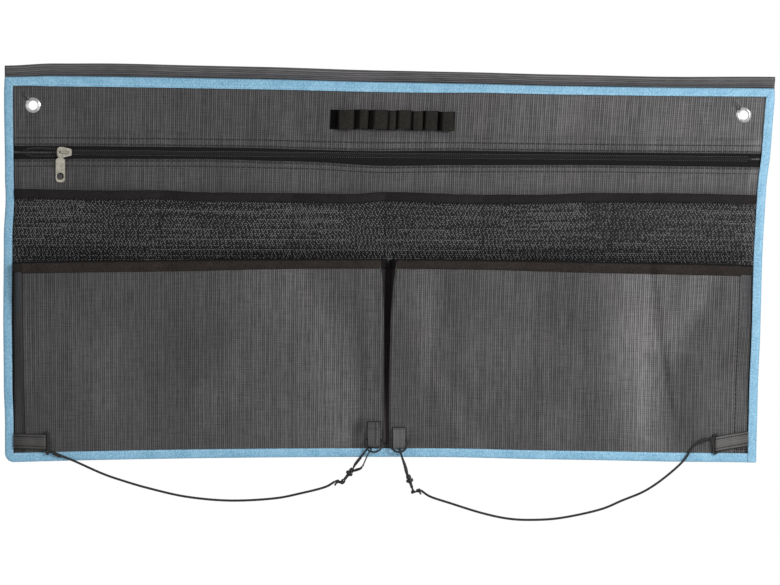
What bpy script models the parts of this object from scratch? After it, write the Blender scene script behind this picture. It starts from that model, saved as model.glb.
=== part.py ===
"""Tent organizer: a fabric panel that hangs from a rail bead, with a zip pocket, elastic
loops, six net pockets, two lower pockets and two cords with snap hooks.

The panel hangs in the XZ plane, its front faces -Y and the origin is the middle of the
rail bead. The flat pattern has u across and w up, and hang() bends it into place.
"""

import math

import bmesh
import bpy
from mathutils import Matrix, Vector

# Cloth, seams and layers
CLOTH = 0.0008
GAP = 0.0003
LAYER = CLOTH + GAP

# Panel outline on the flat pattern
PANEL_WIDTH = 1.0
PANEL_BOTTOM = -0.498
BINDING_TOP = -0.0114
BINDING_WIDTH = 0.0115
BINDING_TURN = 0.0018
CORNER_RADIUS = 0.003
ROUND_CORNER_RADIUS = 0.012
EDGE_INSET = 0.0024

# How the panel hangs: the rail slopes, the right side leans in, the bottom corners drop
TILT = 0.0076
LEAN = 0.0245
BOW = 0.007
BOW_START = 0.3

# Rail bead and its sleeve
BEAD_RADIUS = 0.003
BEAD_END_INSET = 0.002
FLANGE_BOTTOM = -0.0232

# Eyelets
EYELET_HOLE_RADIUS = 0.0062
EYELET_WALL = 0.0006
EYELET_FLANGE_RADIUS = 0.0098
EYELET_INSET = 0.037
EYELET_UP = -0.0477
EYELET_DOME = 0.0013
EYELET_CURL = 0.001
WASHER_THICKNESS = 0.0008
FABRIC_HOLE_RADIUS = 0.0074
PUNCH_REACH = 0.01

# Elastic loops
ELASTIC = 0.0012
LOOP_COUNT = 8
LOOP_PITCH = 0.0188
LOOP_SEAM = 0.0034
LOOP_RISE = 0.0085
LOOP_END = 0.006
LOOPS_ACROSS = 0.006
LOOPS_UP = -0.0608
ELASTIC_WIDTH = 0.025

# Zip
ZIP_HEIGHT = -0.1065
ZIP_DEPTH = 0.0038
TAPE_WIDTH = 0.016
TAPE_INNER = 0.0015
COIL_RADIUS = 0.0012
COIL_INSET = 0.0235
COIL_OPEN_INSET = 0.038
COIL_OPEN = 0.003
SIDE_TAPER = 0.012
HEADER_BOTTOM = -0.0998
HEADER_SLOPE_TOP = -0.0755
HEADER_SLOPE_BOTTOM = -0.0865
LOWER_PANEL_TOP = -0.119
ZIP_SEAM_BOTTOM = -0.1262
ZIP_POCKET_DEEP_TOP = -0.142
ZIP_POCKET_DEEP_BOTTOM = -0.215
ZIP_POCKET_BOTTOM = -0.2515
ZIP_POCKET_DEPTH = 0.0065

# Zip slider and pull
SLIDER_LENGTH = 0.0192
SLIDER_HALF_WIDTH = 0.0072
SLIDER_NARROW = 0.0048
SLIDER_PLATE = 0.0012
SLIDER_INSET = 0.0782
SLIDER_LIP = 0.0018
SLIDER_ROUNDING = 0.0004
POST_HALF_WIDTH = 0.0008
POST_LENGTH = 0.005
CROWN_RADIUS = 0.0012
CROWN_SPAN = 0.0098
CROWN_RISE = 0.0044
CROWN_BEND = 0.0018
PULL_THICKNESS = 0.0015
PULL_LENGTH = 0.039
PULL_HALF_WIDTH = 0.0061
PULL_NECK = 0.0088
PULL_NECK_HALF = 0.0026
PULL_EYE_RADIUS = 0.0036
PULL_EYE_PLAY = 0.0004
PULL_CORNER = 0.003
PULL_ROUNDING = 0.0003
PULL_HOLE_RADIUS = 0.0045
PULL_HOLE_DOWN = 0.0312

# Net pockets
NET_HEM_TOP = -0.1558
NET_HEM_WIDTH = 0.0104
NET_BOTTOM = -0.2475
NET_DIVIDER_SHARES = (-0.59, -0.24, 0.003, 0.26, 0.602)
NET_CELLS = 6
NET_THREAD = 0.0014
NET_BULGE = 0.009
NET_SEWN = 0.002
NET_RISE = 0.03

# Lower pockets
POCKET_MOUTH = -0.2418
POCKET_HEM_WIDTH = 0.0116
POCKET_DROOP = 0.0055
POCKET_STAND = 0.022
GUSSET_SHARE = 0.78
POCKET_TAPER = 1.2
POCKET_FOLD = 0.0016
OUTER_GUSSET_LEFT = 0.0131
OUTER_GUSSET_RIGHT = 0.0165
CENTRE_SEAM = 0.0073
CENTRE_GAP_MOUTH = 0.011
CENTRE_GAP_LOW = 0.0036

# Corner tabs, which hold the cords
CORNER_TAB_HEIGHT = 0.019
CORNER_TAB_LENGTH = 0.0432
CORNER_TAB_SEWN = 0.024
CORD_RADIUS = 0.0015
KNOT_RADIUS = 0.0031

# Centre tabs and rings
CENTRE_TAB_WIDTH = 0.0174
RING_RADIUS = 0.0108
RING_WIRE = 0.00105
RING_TILT = math.radians(20)
RING_TOP = -0.4708
RING_PINCH = 0.009

# Snap hooks, measured along the hook from the middle of the swivel's eye
HOOK_WIRE = 0.00115
HOOK_BOW_RADIUS = 0.004
HOOK_BOW_CENTRE = 0.0525
HOOK_SPINE_OFFSET = 0.0018
HOOK_SPINE_BEND = 0.006
HOOK_BOSS_START = 0.0158
HOOK_BOSS_LENGTH = 0.0055
HOOK_BOSS_RADIUS = 0.0034
HOOK_ARM_REACH = 0.0132
HOOK_ARM_TIP = 0.0315
HOOK_NOSE = 0.003
GATE_WIRE = 0.0009
SWIVEL_EYE_RADIUS = 0.0031
SWIVEL_EYE_WIRE = 0.0011
SWIVEL_STEM_RADIUS = 0.002
SWIVEL_COLLAR_RADIUS = 0.0047
SWIVEL_COLLAR_START = 0.0115
SWIVEL_COLLAR_LENGTH = 0.004
SWIVEL_PIN_RADIUS = 0.0014
SWIVEL_PIN_LENGTH = 0.0036
TIE_RADIUS = 0.0028

# Routes of the cords in x and z, from the corner tab to the hook
CORD_LEFT_ROUTE = (
    (-0.4230, -0.4975), (-0.4071, -0.5040), (-0.3740, -0.5188), (-0.3481, -0.5279),
    (-0.3117, -0.5385), (-0.2636, -0.5492), (-0.2078, -0.5541), (-0.1506, -0.5513),
    (-0.1130, -0.5440), (-0.0844, -0.5348),
)
CORD_RIGHT_ROUTE = (
    (0.4030, -0.4765), (0.3922, -0.4858), (0.3792, -0.5040), (0.3545, -0.5256),
    (0.3296, -0.5421), (0.3013, -0.5539), (0.2714, -0.5660), (0.2221, -0.5765),
    (0.1844, -0.5791), (0.1519, -0.5773), (0.1169, -0.5696), (0.0774, -0.5558),
    (0.0526, -0.5409),
)
CORD_STEP = 0.0085
CORD_START = 0.004

# Corner tabs: side, name, height at the binding and at the fold, knot's rise and reach
CORNER_TABS = (
    (-1, "left", -0.4715, -0.4735, -0.0135, 0.0),
    (1, "right", -0.4678, -0.4752, 0.0065, 0.0022),
)

# Centre tabs: place across, top, bottom and name
CENTRE_TABS = ((-0.0088, -0.4513, -0.4851, "left"), (0.0244, -0.4591, -0.4877, "right"))

# Hooks, in degrees: place round the ring, lean from upright and roll
HOOK_PLACES = ((220, 38, 55), (171, -18, 94))

HALF_WIDTH = PANEL_WIDTH / 2
COIL_END = HALF_WIDTH - COIL_INSET
SLIDER_ACROSS = SLIDER_INSET - HALF_WIDTH
NET_DIVIDERS = tuple(HALF_WIDTH * share for share in NET_DIVIDER_SHARES)
BINDING_INNER = HALF_WIDTH - BINDING_WIDTH
SHEET_SIDE = HALF_WIDTH - EDGE_INSET
SHEET_TOP = BINDING_TOP - EDGE_INSET
SHEET_BOTTOM = PANEL_BOTTOM + EDGE_INSET
POCKET_SEAM = PANEL_BOTTOM + BINDING_WIDTH + LAYER

# Depth of each layer's middle, counted forward from the sleeve's rear layer
REAR = BEAD_RADIUS + GAP + CLOTH / 2
SLEEVE_FRONT = REAR - LAYER
BINDING_BACK = REAR - 2 * LAYER
BACK_PANEL = REAR - 3 * LAYER
TAPE_EDGE = REAR - 4 * LAYER
FRONT_PANEL = REAR - 5 * LAYER
POCKET_EDGE = REAR - 6 * LAYER
BINDING_FRONT = REAR - 7 * LAYER
TAPE_MIDDLE = BACK_PANEL - ZIP_DEPTH
ZIP_PANEL = TAPE_MIDDLE - LAYER
COIL_DEPTH = TAPE_MIDDLE - CLOTH / 2 - GAP - COIL_RADIUS
POCKET_PANEL = BACK_PANEL - CLOTH - ZIP_POCKET_DEPTH

FABRIC_GREY = (0.085, 0.083, 0.085)
FABRIC_BLACK = (0.016, 0.015, 0.016)
HEM_BROWN = (0.032, 0.024, 0.022)
BINDING_BLUE = (0.27, 0.55, 0.75)
HARDWARE_BLACK = (0.012, 0.012, 0.013)
NICKEL = (0.55, 0.53, 0.50)
STEEL = (0.75, 0.75, 0.76)

for old in list(bpy.data.objects):
    bpy.data.objects.remove(old, do_unlink=True)

scene = bpy.context.scene
parts = bpy.data.collections.new("tent_organizer")
cutters = bpy.data.collections.new("cutters")
scene.collection.children.link(parts)
scene.collection.children.link(cutters)


def surface(name, colour, roughness, metallic=0.0):
    """A Principled material for one node."""
    finish = bpy.data.materials.new(name)
    finish.use_nodes = True
    shader = finish.node_tree.nodes["Principled BSDF"]
    shader.inputs["Base Color"].default_value = (*colour, 1.0)
    shader.inputs["Roughness"].default_value = roughness
    shader.inputs["Metallic"].default_value = metallic
    return finish


def add_piece(name, mesh, finish, pivot=None, smooth=35):
    """Link a mesh as a named piece, under a pivot empty if it moves."""
    mesh.shade_smooth()
    mesh.set_sharp_from_angle(angle=math.radians(smooth))
    mesh.materials.clear()
    mesh.materials.append(surface(name, *finish))
    piece = bpy.data.objects.new(name, mesh)
    parts.objects.link(piece)
    if pivot:
        piece.parent = pivot
    return piece


def add_cutter(name, mesh, matrix=None):
    """Link a mesh as a cutter, which is not part of the object."""
    cutter = bpy.data.objects.new(name, mesh)
    cutters.objects.link(cutter)
    cutter.hide_render = True
    cutter.display_type = "WIRE"
    if matrix:
        cutter.matrix_world = matrix
    return cutter


def boolean(piece, cutter, operation="DIFFERENCE"):
    """Cut a piece with a cutter, or join the cutter to it."""
    step = piece.modifiers.new(cutter.name, "BOOLEAN")
    step.operation = operation
    step.solver = "EXACT"
    step.object = cutter


def pivot_at(name, location, rotation=None):
    """An empty on a joint's axis, which carries the pieces that move with it."""
    pivot = bpy.data.objects.new(name, None)
    parts.objects.link(pivot)
    turn = rotation.to_4x4() if rotation else Matrix.Identity(4)
    pivot.matrix_world = Matrix.Translation(location) @ turn
    return pivot


def baked(source):
    """The mesh of an object with its modifiers or bevel, welded, as a new mesh."""
    bpy.context.view_layer.update()
    evaluated = source.evaluated_get(bpy.context.evaluated_depsgraph_get())
    mesh = bpy.data.meshes.new_from_object(evaluated)
    form = bmesh.new()
    form.from_mesh(mesh)
    bmesh.ops.remove_doubles(form, verts=form.verts, dist=0.00001)
    bmesh.ops.recalc_face_normals(form, faces=form.faces)
    form.to_mesh(mesh)
    form.free()
    bpy.data.objects.remove(source, do_unlink=True)
    return mesh


def tube_mesh(points, radius, cyclic=False, resolution=2):
    """A round tube along points."""
    curve = bpy.data.curves.new("tube", "CURVE")
    curve.dimensions = "3D"
    curve.bevel_depth = radius
    curve.bevel_resolution = resolution
    curve.use_fill_caps = not cyclic
    line = curve.splines.new("POLY")
    line.points.add(len(points) - 1)
    for spot, point in zip(line.points, points):
        spot.co = (*point, 1.0)
    line.use_cyclic_u = cyclic
    holder = bpy.data.objects.new("tube", curve)
    scene.collection.objects.link(holder)
    return baked(holder)


def plate_mesh(outlines, thickness):
    """A flat plate in x and z from closed outlines, holes after the outer one."""
    curve = bpy.data.curves.new("plate", "CURVE")
    curve.dimensions = "2D"
    curve.fill_mode = "BOTH"
    curve.extrude = thickness / 2
    for outline in outlines:
        line = curve.splines.new("POLY")
        line.points.add(len(outline) - 1)
        for spot, (x, z) in zip(line.points, outline):
            spot.co = (x, z, 0.0, 1.0)
        line.use_cyclic_u = True
    holder = bpy.data.objects.new("plate", curve)
    scene.collection.objects.link(holder)
    mesh = baked(holder)
    mesh.transform(Matrix.Rotation(math.radians(90), 4, "X"))
    return mesh


def box_mesh(low, high):
    """A box between two corners."""
    form = bmesh.new()
    bmesh.ops.create_cube(form, size=1.0)
    size = Vector(high) - Vector(low)
    middle = (Vector(high) + Vector(low)) / 2
    bmesh.ops.scale(form, vec=size, verts=form.verts)
    bmesh.ops.translate(form, vec=middle, verts=form.verts)
    mesh = bpy.data.meshes.new("box")
    form.to_mesh(mesh)
    form.free()
    return mesh


def cylinder_mesh(radius, length, steps=16, top_radius=None):
    """A cylinder or cone that stands on the origin along +Z."""
    form = bmesh.new()
    bmesh.ops.create_cone(
        form, cap_ends=True, segments=steps, radius1=radius,
        radius2=radius if top_radius is None else top_radius, depth=length,
    )
    bmesh.ops.translate(form, vec=(0, 0, length / 2), verts=form.verts)
    mesh = bpy.data.meshes.new("cylinder")
    form.to_mesh(mesh)
    form.free()
    return mesh


def ball_mesh(radius, squash=1.0):
    """A small ball, flattened along Z by squash."""
    form = bmesh.new()
    bmesh.ops.create_uvsphere(form, u_segments=12, v_segments=8, radius=radius)
    bmesh.ops.scale(form, vec=(1, 1, squash), verts=form.verts)
    mesh = bpy.data.meshes.new("ball")
    form.to_mesh(mesh)
    form.free()
    return mesh


def torus_mesh(radius, wire, steps, sides):
    """A round ring in the XZ plane, made as a circle turned round the Y axis."""
    form = bmesh.new()
    bmesh.ops.create_circle(form, segments=sides, radius=wire)
    bmesh.ops.translate(form, vec=(radius, 0, 0), verts=form.verts)
    bmesh.ops.spin(
        form, geom=form.verts[:] + form.edges[:], cent=(0, 0, 0), axis=(0, 1, 0),
        angle=math.tau, steps=steps, use_merge=True,
    )
    bmesh.ops.remove_doubles(form, verts=form.verts, dist=0.00001)
    bmesh.ops.recalc_face_normals(form, faces=form.faces)
    mesh = bpy.data.meshes.new("ring")
    form.to_mesh(mesh)
    form.free()
    return mesh


def smooth_curve(points, step):
    """Even points on a smooth curve through the given points."""
    chain = [Vector(point) for point in points]
    chain = [2 * chain[0] - chain[1], *chain, 2 * chain[-1] - chain[-2]]
    fine = []
    for before, start, end, after in zip(chain, chain[1:], chain[2:], chain[3:]):
        for part in range(24):
            t = part / 24
            fine.append(0.5 * (
                2 * start + (end - before) * t
                + (2 * before - 5 * start + 4 * end - after) * t ** 2
                + (3 * start - before - 3 * end + after) * t ** 3
            ))
    fine.append(Vector(points[-1]))
    length = sum((b - a).length for a, b in zip(fine, fine[1:]))
    count = max(2, round(length / step))
    spots = [fine[0]]
    travelled = 0.0
    for a, b in zip(fine, fine[1:]):
        run = (b - a).length
        while len(spots) < count and travelled + run >= length * len(spots) / count:
            share = (length * len(spots) / count - travelled) / run
            spots.append(a.lerp(b, share))
        travelled += run
    spots.append(fine[-1])
    return spots


def steps_between(start, end, count):
    """Evenly spaced values from start to end, both included."""
    return [start + (end - start) * i / count for i in range(count + 1)]


def ease(value, start, end):
    """0 at start, 1 at end, smooth between."""
    share = min(max((value - start) / (end - start), 0.0), 1.0)
    return share * share * (3 - 2 * share)


def hang(u, y, w):
    """World point of a spot on the flat pattern."""
    down = min(max(w / PANEL_BOTTOM, 0.0), 1.0)
    side = u / HALF_WIDTH
    leaning = LEAN * (u / PANEL_WIDTH + 0.5) * (1 - (1 - down) ** 2)
    dropping = BOW * (max(down - BOW_START, 0.0) / (1 - BOW_START)) ** 2 * side ** 2
    return Vector((u - leaning, y, w - TILT * side * (1 - down) ** 2 - dropping))


def pulled_corner(u, w, inset=EDGE_INSET):
    """Move a spot in the rounded bottom left corner onto the arc."""
    centre_u = ROUND_CORNER_RADIUS - HALF_WIDTH
    centre_w = PANEL_BOTTOM + ROUND_CORNER_RADIUS
    if u >= centre_u or w >= centre_w:
        return u, w
    reach = math.hypot(u - centre_u, w - centre_w)
    share = max(centre_u - u, centre_w - w) / reach
    return centre_u + (u - centre_u) * share, centre_w + (w - centre_w) * share


def laid(name, lines, finish, thickness=CLOTH, closed=False):
    """A sheet through lines of points, given bottom to top, with its thickness."""
    columns = len(lines[0]) - 1
    rows = len(lines) - 1
    form = bmesh.new()
    bmesh.ops.create_grid(form, x_segments=columns, y_segments=rows, size=0.5)
    for vertex in form.verts:
        column = round((vertex.co.x + 0.5) * columns)
        row = round((vertex.co.y + 0.5) * rows)
        vertex.co = lines[row][column]
    if closed:
        bmesh.ops.remove_doubles(form, verts=form.verts, dist=0.00001)
    mesh = bpy.data.meshes.new(name)
    form.to_mesh(mesh)
    form.free()
    piece = add_piece(name, mesh, finish)
    solid = piece.modifiers.new("thickness", "SOLIDIFY")
    solid.thickness = thickness
    solid.offset = 0
    solid.use_even_offset = True
    solid.use_quality_normals = True
    return piece


def pattern_lines(across, up, depth):
    """Lines of hung points over a part of the pattern."""
    lines = []
    for w in up:
        line = []
        for u in across:
            flat_u, flat_w = pulled_corner(u, w)
            line.append(hang(flat_u, depth(u, w), flat_w))
        lines.append(line)
    return lines


def sides_then(middle):
    """Stations across the whole panel, with the seam and taper lines at both sides."""
    full = BINDING_INNER - SIDE_TAPER
    return [-SHEET_SIDE, -BINDING_INNER, -full, *middle, full, BINDING_INNER, SHEET_SIDE]


def side_rise(u):
    """0 at the side bindings and 1 past the taper beside them."""
    return min(max((BINDING_INNER - abs(u)) / SIDE_TAPER, 0.0), 1.0)


def header_depth(u, w):
    """Middle of the sheet above the zip."""
    rise = side_rise(u) * ease(-w, -HEADER_SLOPE_TOP, -HEADER_SLOPE_BOTTOM)
    return FRONT_PANEL + (ZIP_PANEL - FRONT_PANEL) * rise


def lower_depth(u, w):
    """Middle of the sheet below the zip, which stands off to make the zip pocket."""
    deep = ease(-w, -ZIP_SEAM_BOTTOM, -ZIP_POCKET_DEEP_TOP)
    closing = ease(-w, -ZIP_POCKET_DEEP_BOTTOM, -NET_BOTTOM)
    full = ZIP_PANEL + (POCKET_PANEL - ZIP_PANEL) * deep
    full += (FRONT_PANEL - full) * closing
    return FRONT_PANEL + (full - FRONT_PANEL) * side_rise(u)


def net_depth(u, w):
    """Middle of the net, which bulges between its seams and meets the sheet at them."""
    edges = (-BINDING_INNER, *NET_DIVIDERS, BINDING_INNER)
    bulge = 0.0
    for left, right in zip(edges, edges[1:]):
        if left < u < right:
            bulge = math.sin(math.pi * (u - left) / (right - left))
    sewn = NET_BOTTOM + NET_SEWN
    fullness = ease(w, sewn, sewn + NET_RISE)
    stand = CLOTH / 2 + GAP + NET_THREAD / 2 + LAYER * fullness + GAP
    return lower_depth(u, w) - stand - NET_BULGE * bulge * fullness


def mouth_height(u):
    """Height of the lower pockets' mouth, which droops towards the sides."""
    return POCKET_MOUTH - POCKET_DROOP * (abs(u) / HALF_WIDTH) ** 1.5


def pocket_share(u, w):
    """How far down a lower pocket a spot is, 0 at the mouth and 1 at the bottom."""
    top = mouth_height(u)
    return min(max((top - w) / (top - POCKET_SEAM), 0.0), 1.0)


def pocket_depth(u, w):
    """Middle of a lower pocket's front."""
    share = pocket_share(u, w)
    fold = POCKET_FOLD * math.sin(4 * math.pi * share) * math.sin(9 * u) * (1 - share)
    return POCKET_EDGE - POCKET_STAND * (1 - share) ** POCKET_TAPER - fold


def centre_gap(u, w):
    """Half the gap between the two lower pockets."""
    wider = CENTRE_GAP_MOUTH - CENTRE_GAP_LOW
    return CENTRE_GAP_LOW + wider * (1 - pocket_share(u, w)) ** 5


def rim_points(inset):
    """The panel's outline, moved in by inset, from the bottom right corner round."""
    corners = (
        (1, PANEL_BOTTOM, -1, CORNER_RADIUS, -90),
        (1, BINDING_TOP, 1, CORNER_RADIUS, 0),
        (-1, BINDING_TOP, 1, CORNER_RADIUS, 90),
        (-1, PANEL_BOTTOM, -1, ROUND_CORNER_RADIUS, 180),
    )
    arcs = []
    for side, level, end, radius, start in corners:
        turn = max(radius - inset, GAP)
        u = side * (HALF_WIDTH - inset - turn)
        w = level - end * (inset + turn)
        angles = [math.radians(start + 30 * i) for i in range(4)]
        arcs.append([(u + turn * math.cos(a), w + turn * math.sin(a)) for a in angles])
    loop = []
    runs = (8, 12, 8, 12)
    for arc, following, run in zip(arcs, arcs[1:] + arcs[:1], runs):
        loop += arc
        (u0, w0), (u1, w1) = arc[-1], following[0]
        for i in range(1, run):
            loop.append((u0 + (u1 - u0) * i / run, w0 + (w1 - w0) * i / run))
    return loop + loop[:1]


def edge_binding():
    """The tape folded round all four edges."""
    middle = (BINDING_BACK + BINDING_FRONT) / 2
    half = (BINDING_BACK - BINDING_FRONT) / 2
    section = [(BINDING_WIDTH, BINDING_FRONT)]
    for angle in (-90, -45, 0, 45, 90):
        turn = math.radians(angle)
        inset = CLOTH / 2 + BINDING_TURN * (1 - math.cos(turn))
        section.append((inset, middle + half * math.sin(turn)))
    section.append((BINDING_WIDTH, BINDING_BACK))
    lines = []
    for inset, y in section:
        lines.append([hang(u, y, w) for u, w in rim_points(inset)])
    laid("edge_binding", lines, (BINDING_BLUE, 0.8), closed=True)


def rail():
    """The bead and the sleeve that is folded round it."""
    reach = REAR
    path = [(REAR, FLANGE_BOTTOM), (REAR, 0.0)]
    for angle in range(30, 271, 30):
        turn = math.radians(angle)
        path.append((reach * math.cos(turn), reach * math.sin(turn)))
    path += [(SLEEVE_FRONT, -2 * reach), (SLEEVE_FRONT, FLANGE_BOTTOM)]
    lines = []
    for y, w in reversed(path):
        lines.append([hang(u, y, w) for u in (-HALF_WIDTH, HALF_WIDTH)])
    laid("rail_strip", lines, (FABRIC_GREY, 0.7))
    end = HALF_WIDTH - BEAD_END_INSET
    ends = [hang(-end, 0.0, 0.0), hang(end, 0.0, 0.0)]
    add_piece("rail_bead", tube_mesh(ends, BEAD_RADIUS), (FABRIC_BLACK, 0.5))


def turned(name, profile, finish, matrix, steps=20):
    """A ring turned from a closed profile of radius and height."""
    form = bmesh.new()
    spots = [form.verts.new((radius, 0.0, height)) for radius, height in profile]
    for first, second in zip(spots, spots[1:] + spots[:1]):
        form.edges.new((first, second))
    mesh = bpy.data.meshes.new(name)
    form.to_mesh(mesh)
    form.free()
    piece = add_piece(name, mesh, finish)
    screw = piece.modifiers.new("turn", "SCREW")
    screw.steps = steps
    screw.render_steps = steps
    screw.use_merge_vertices = True
    screw.merge_threshold = 0.00001
    piece.matrix_world = matrix
    return piece


def eyelet_matrix(side):
    """The eyelet's frame, its +Z pointing out of the front."""
    spot = hang(side * (HALF_WIDTH - EYELET_INSET), 0.0, EYELET_UP)
    return Matrix.Translation(spot) @ Matrix.Rotation(math.radians(90), 4, "X")


def eyelet(side, word):
    """The barrel with its front flange, rolled over the washer behind."""
    front = CLOTH / 2 - FRONT_PANEL + GAP
    back = -(BACK_PANEL + CLOTH / 2 + GAP)
    inner = EYELET_HOLE_RADIUS
    outer = inner + EYELET_WALL
    lip = back - WASHER_THICKNESS - GAP
    barrel = (
        (outer, front), (outer, lip), (outer + EYELET_CURL, lip),
        (outer + EYELET_CURL * 0.7, lip - EYELET_WALL), (inner, lip - EYELET_WALL),
        (inner, front + EYELET_DOME * 0.6), (inner + EYELET_DOME * 0.9, front + EYELET_DOME),
        (EYELET_FLANGE_RADIUS - EYELET_CURL, front + EYELET_DOME * 0.6),
        (EYELET_FLANGE_RADIUS, front),
    )
    turned("eyelet_" + word, barrel, (STEEL, 0.3, 1.0), eyelet_matrix(side))
    washer = (
        (outer + GAP, back), (outer + GAP, back - WASHER_THICKNESS),
        (EYELET_FLANGE_RADIUS, back - WASHER_THICKNESS), (EYELET_FLANGE_RADIUS, back),
    )
    turned("washer_" + word, washer[::-1], (STEEL, 0.35, 1.0), eyelet_matrix(side))


def panels():
    """The back sheet, and the front sheets above and below the zip."""
    across = sides_then(steps_between(-0.78 * HALF_WIDTH, 0.78 * HALF_WIDTH, 10))
    up = steps_between(SHEET_BOTTOM, SHEET_TOP, 8)
    back = laid(
        "back_panel", pattern_lines(across, up, lambda u, w: BACK_PANEL),
        (FABRIC_GREY, 0.75),
    )
    slope = steps_between(HEADER_SLOPE_BOTTOM, HEADER_SLOPE_TOP, 3)
    header = laid(
        "header_panel",
        pattern_lines(across, [HEADER_BOTTOM, *slope, SHEET_TOP], header_depth),
        (FABRIC_GREY, 0.75),
    )
    for side, word in ((-1, "left"), (1, "right")):
        punch = cylinder_mesh(FABRIC_HOLE_RADIUS, 2 * PUNCH_REACH, 20)
        punch.transform(Matrix.Translation((0, 0, -PUNCH_REACH)))
        cutter = add_cutter("eyelet_hole_" + word, punch, eyelet_matrix(side))
        boolean(back, cutter)
        boolean(header, cutter)
    across = sides_then(steps_between(-0.72 * HALF_WIDTH, 0.72 * HALF_WIDTH, 4))
    laid(
        "lower_panel", pattern_lines(across, lower_levels(), lower_depth),
        (FABRIC_GREY, 0.75),
    )


def net_across():
    """Stations across the net pockets, with their seams on them."""
    edges = (-BINDING_INNER + SIDE_TAPER, *NET_DIVIDERS, BINDING_INNER - SIDE_TAPER)
    across = [-SHEET_SIDE, -BINDING_INNER]
    for left, right in zip(edges, edges[1:]):
        across += steps_between(left, right, NET_CELLS - 1)[:-1]
    return [*across, edges[-1], BINDING_INNER, SHEET_SIDE]


def lower_levels():
    """Heights of the lower sheet's rows, shared with the net in front of it."""
    opening = steps_between(ZIP_POCKET_DEEP_TOP, ZIP_SEAM_BOTTOM, 2)
    return [ZIP_POCKET_BOTTOM, *net_levels(), *opening, LOWER_PANEL_TOP]


def net_levels():
    """Heights of the net's rows."""
    closing = steps_between(NET_BOTTOM, ZIP_POCKET_DEEP_BOTTOM, 2)
    return [*closing, NET_HEM_TOP - LAYER]


def elastic_loops():
    """One elastic band, sewn down between its loops."""
    sewn = FRONT_PANEL - CLOTH / 2 - GAP - ELASTIC / 2
    start = LOOPS_ACROSS - LOOP_COUNT * LOOP_PITCH / 2
    path = [(start - LOOP_END, sewn)]
    for loop in range(LOOP_COUNT):
        left = start + loop * LOOP_PITCH + LOOP_SEAM / 2
        span = LOOP_PITCH - LOOP_SEAM
        for share in (0.0, 0.02, 0.16, 0.5, 0.84, 0.98, 1.0):
            rise = LOOP_RISE * math.sin(math.pi * share) ** 0.6 if 0 < share < 1 else 0.0
            path.append((left + span * share, sewn - rise))
    path.append((start + LOOP_COUNT * LOOP_PITCH + LOOP_END, sewn))
    lines = []
    for end in (-1, 1):
        w = LOOPS_UP + end * ELASTIC_WIDTH / 2
        lines.append([hang(u, y, w) for u, y in path])
    laid("elastic_loops", lines, (FABRIC_BLACK, 0.85), thickness=ELASTIC)


def zip_tapes():
    """The two woven tapes and the coil half sewn to each."""
    full = BINDING_INNER - SIDE_TAPER
    across = (-BINDING_INNER, -full, full, BINDING_INNER)
    for sign, word in ((1, "upper"), (-1, "lower")):
        edges = sorted((ZIP_HEIGHT + sign * TAPE_INNER, ZIP_HEIGHT + sign * (TAPE_INNER + TAPE_WIDTH)))
        lines = pattern_lines(
            across, edges,
            lambda u, w: TAPE_EDGE + (TAPE_MIDDLE - TAPE_EDGE) * side_rise(u),
        )
        laid("zip_tape_" + word, lines, (FABRIC_BLACK, 0.85))
        points = []
        for station, spread in coil_stations():
            points.append(hang(station, COIL_DEPTH, ZIP_HEIGHT + sign * (COIL_RADIUS + spread)))
        mesh = tube_mesh(points, COIL_RADIUS)
        add_piece("zip_coil_" + word, mesh, (HARDWARE_BLACK, 0.4))


def coil_stations():
    """Where each coil half runs: closed right of the slider, open left of it."""
    nose = SLIDER_ACROSS - SLIDER_LENGTH / 2
    tail = SLIDER_ACROSS + SLIDER_LENGTH / 2
    return (
        (-COIL_END, COIL_OPEN * 0.2), (COIL_OPEN_INSET - HALF_WIDTH, COIL_OPEN),
        (nose - SLIDER_LENGTH * 0.1, COIL_OPEN * 0.8),
        (nose + SLIDER_LENGTH * 0.16, COIL_OPEN * 0.47),
        (nose + POST_LENGTH + SLIDER_LENGTH * 0.1, COIL_OPEN * 0.2),
        (tail - SLIDER_LENGTH * 0.2, GAP / 2), (tail + SLIDER_LENGTH * 0.2, GAP / 2),
        (COIL_END, GAP / 2),
    )


def mirrored(half):
    """A closed outline from its upper half, given from -x to +x."""
    return half + [(x, -z) for x, z in reversed(half)]


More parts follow.
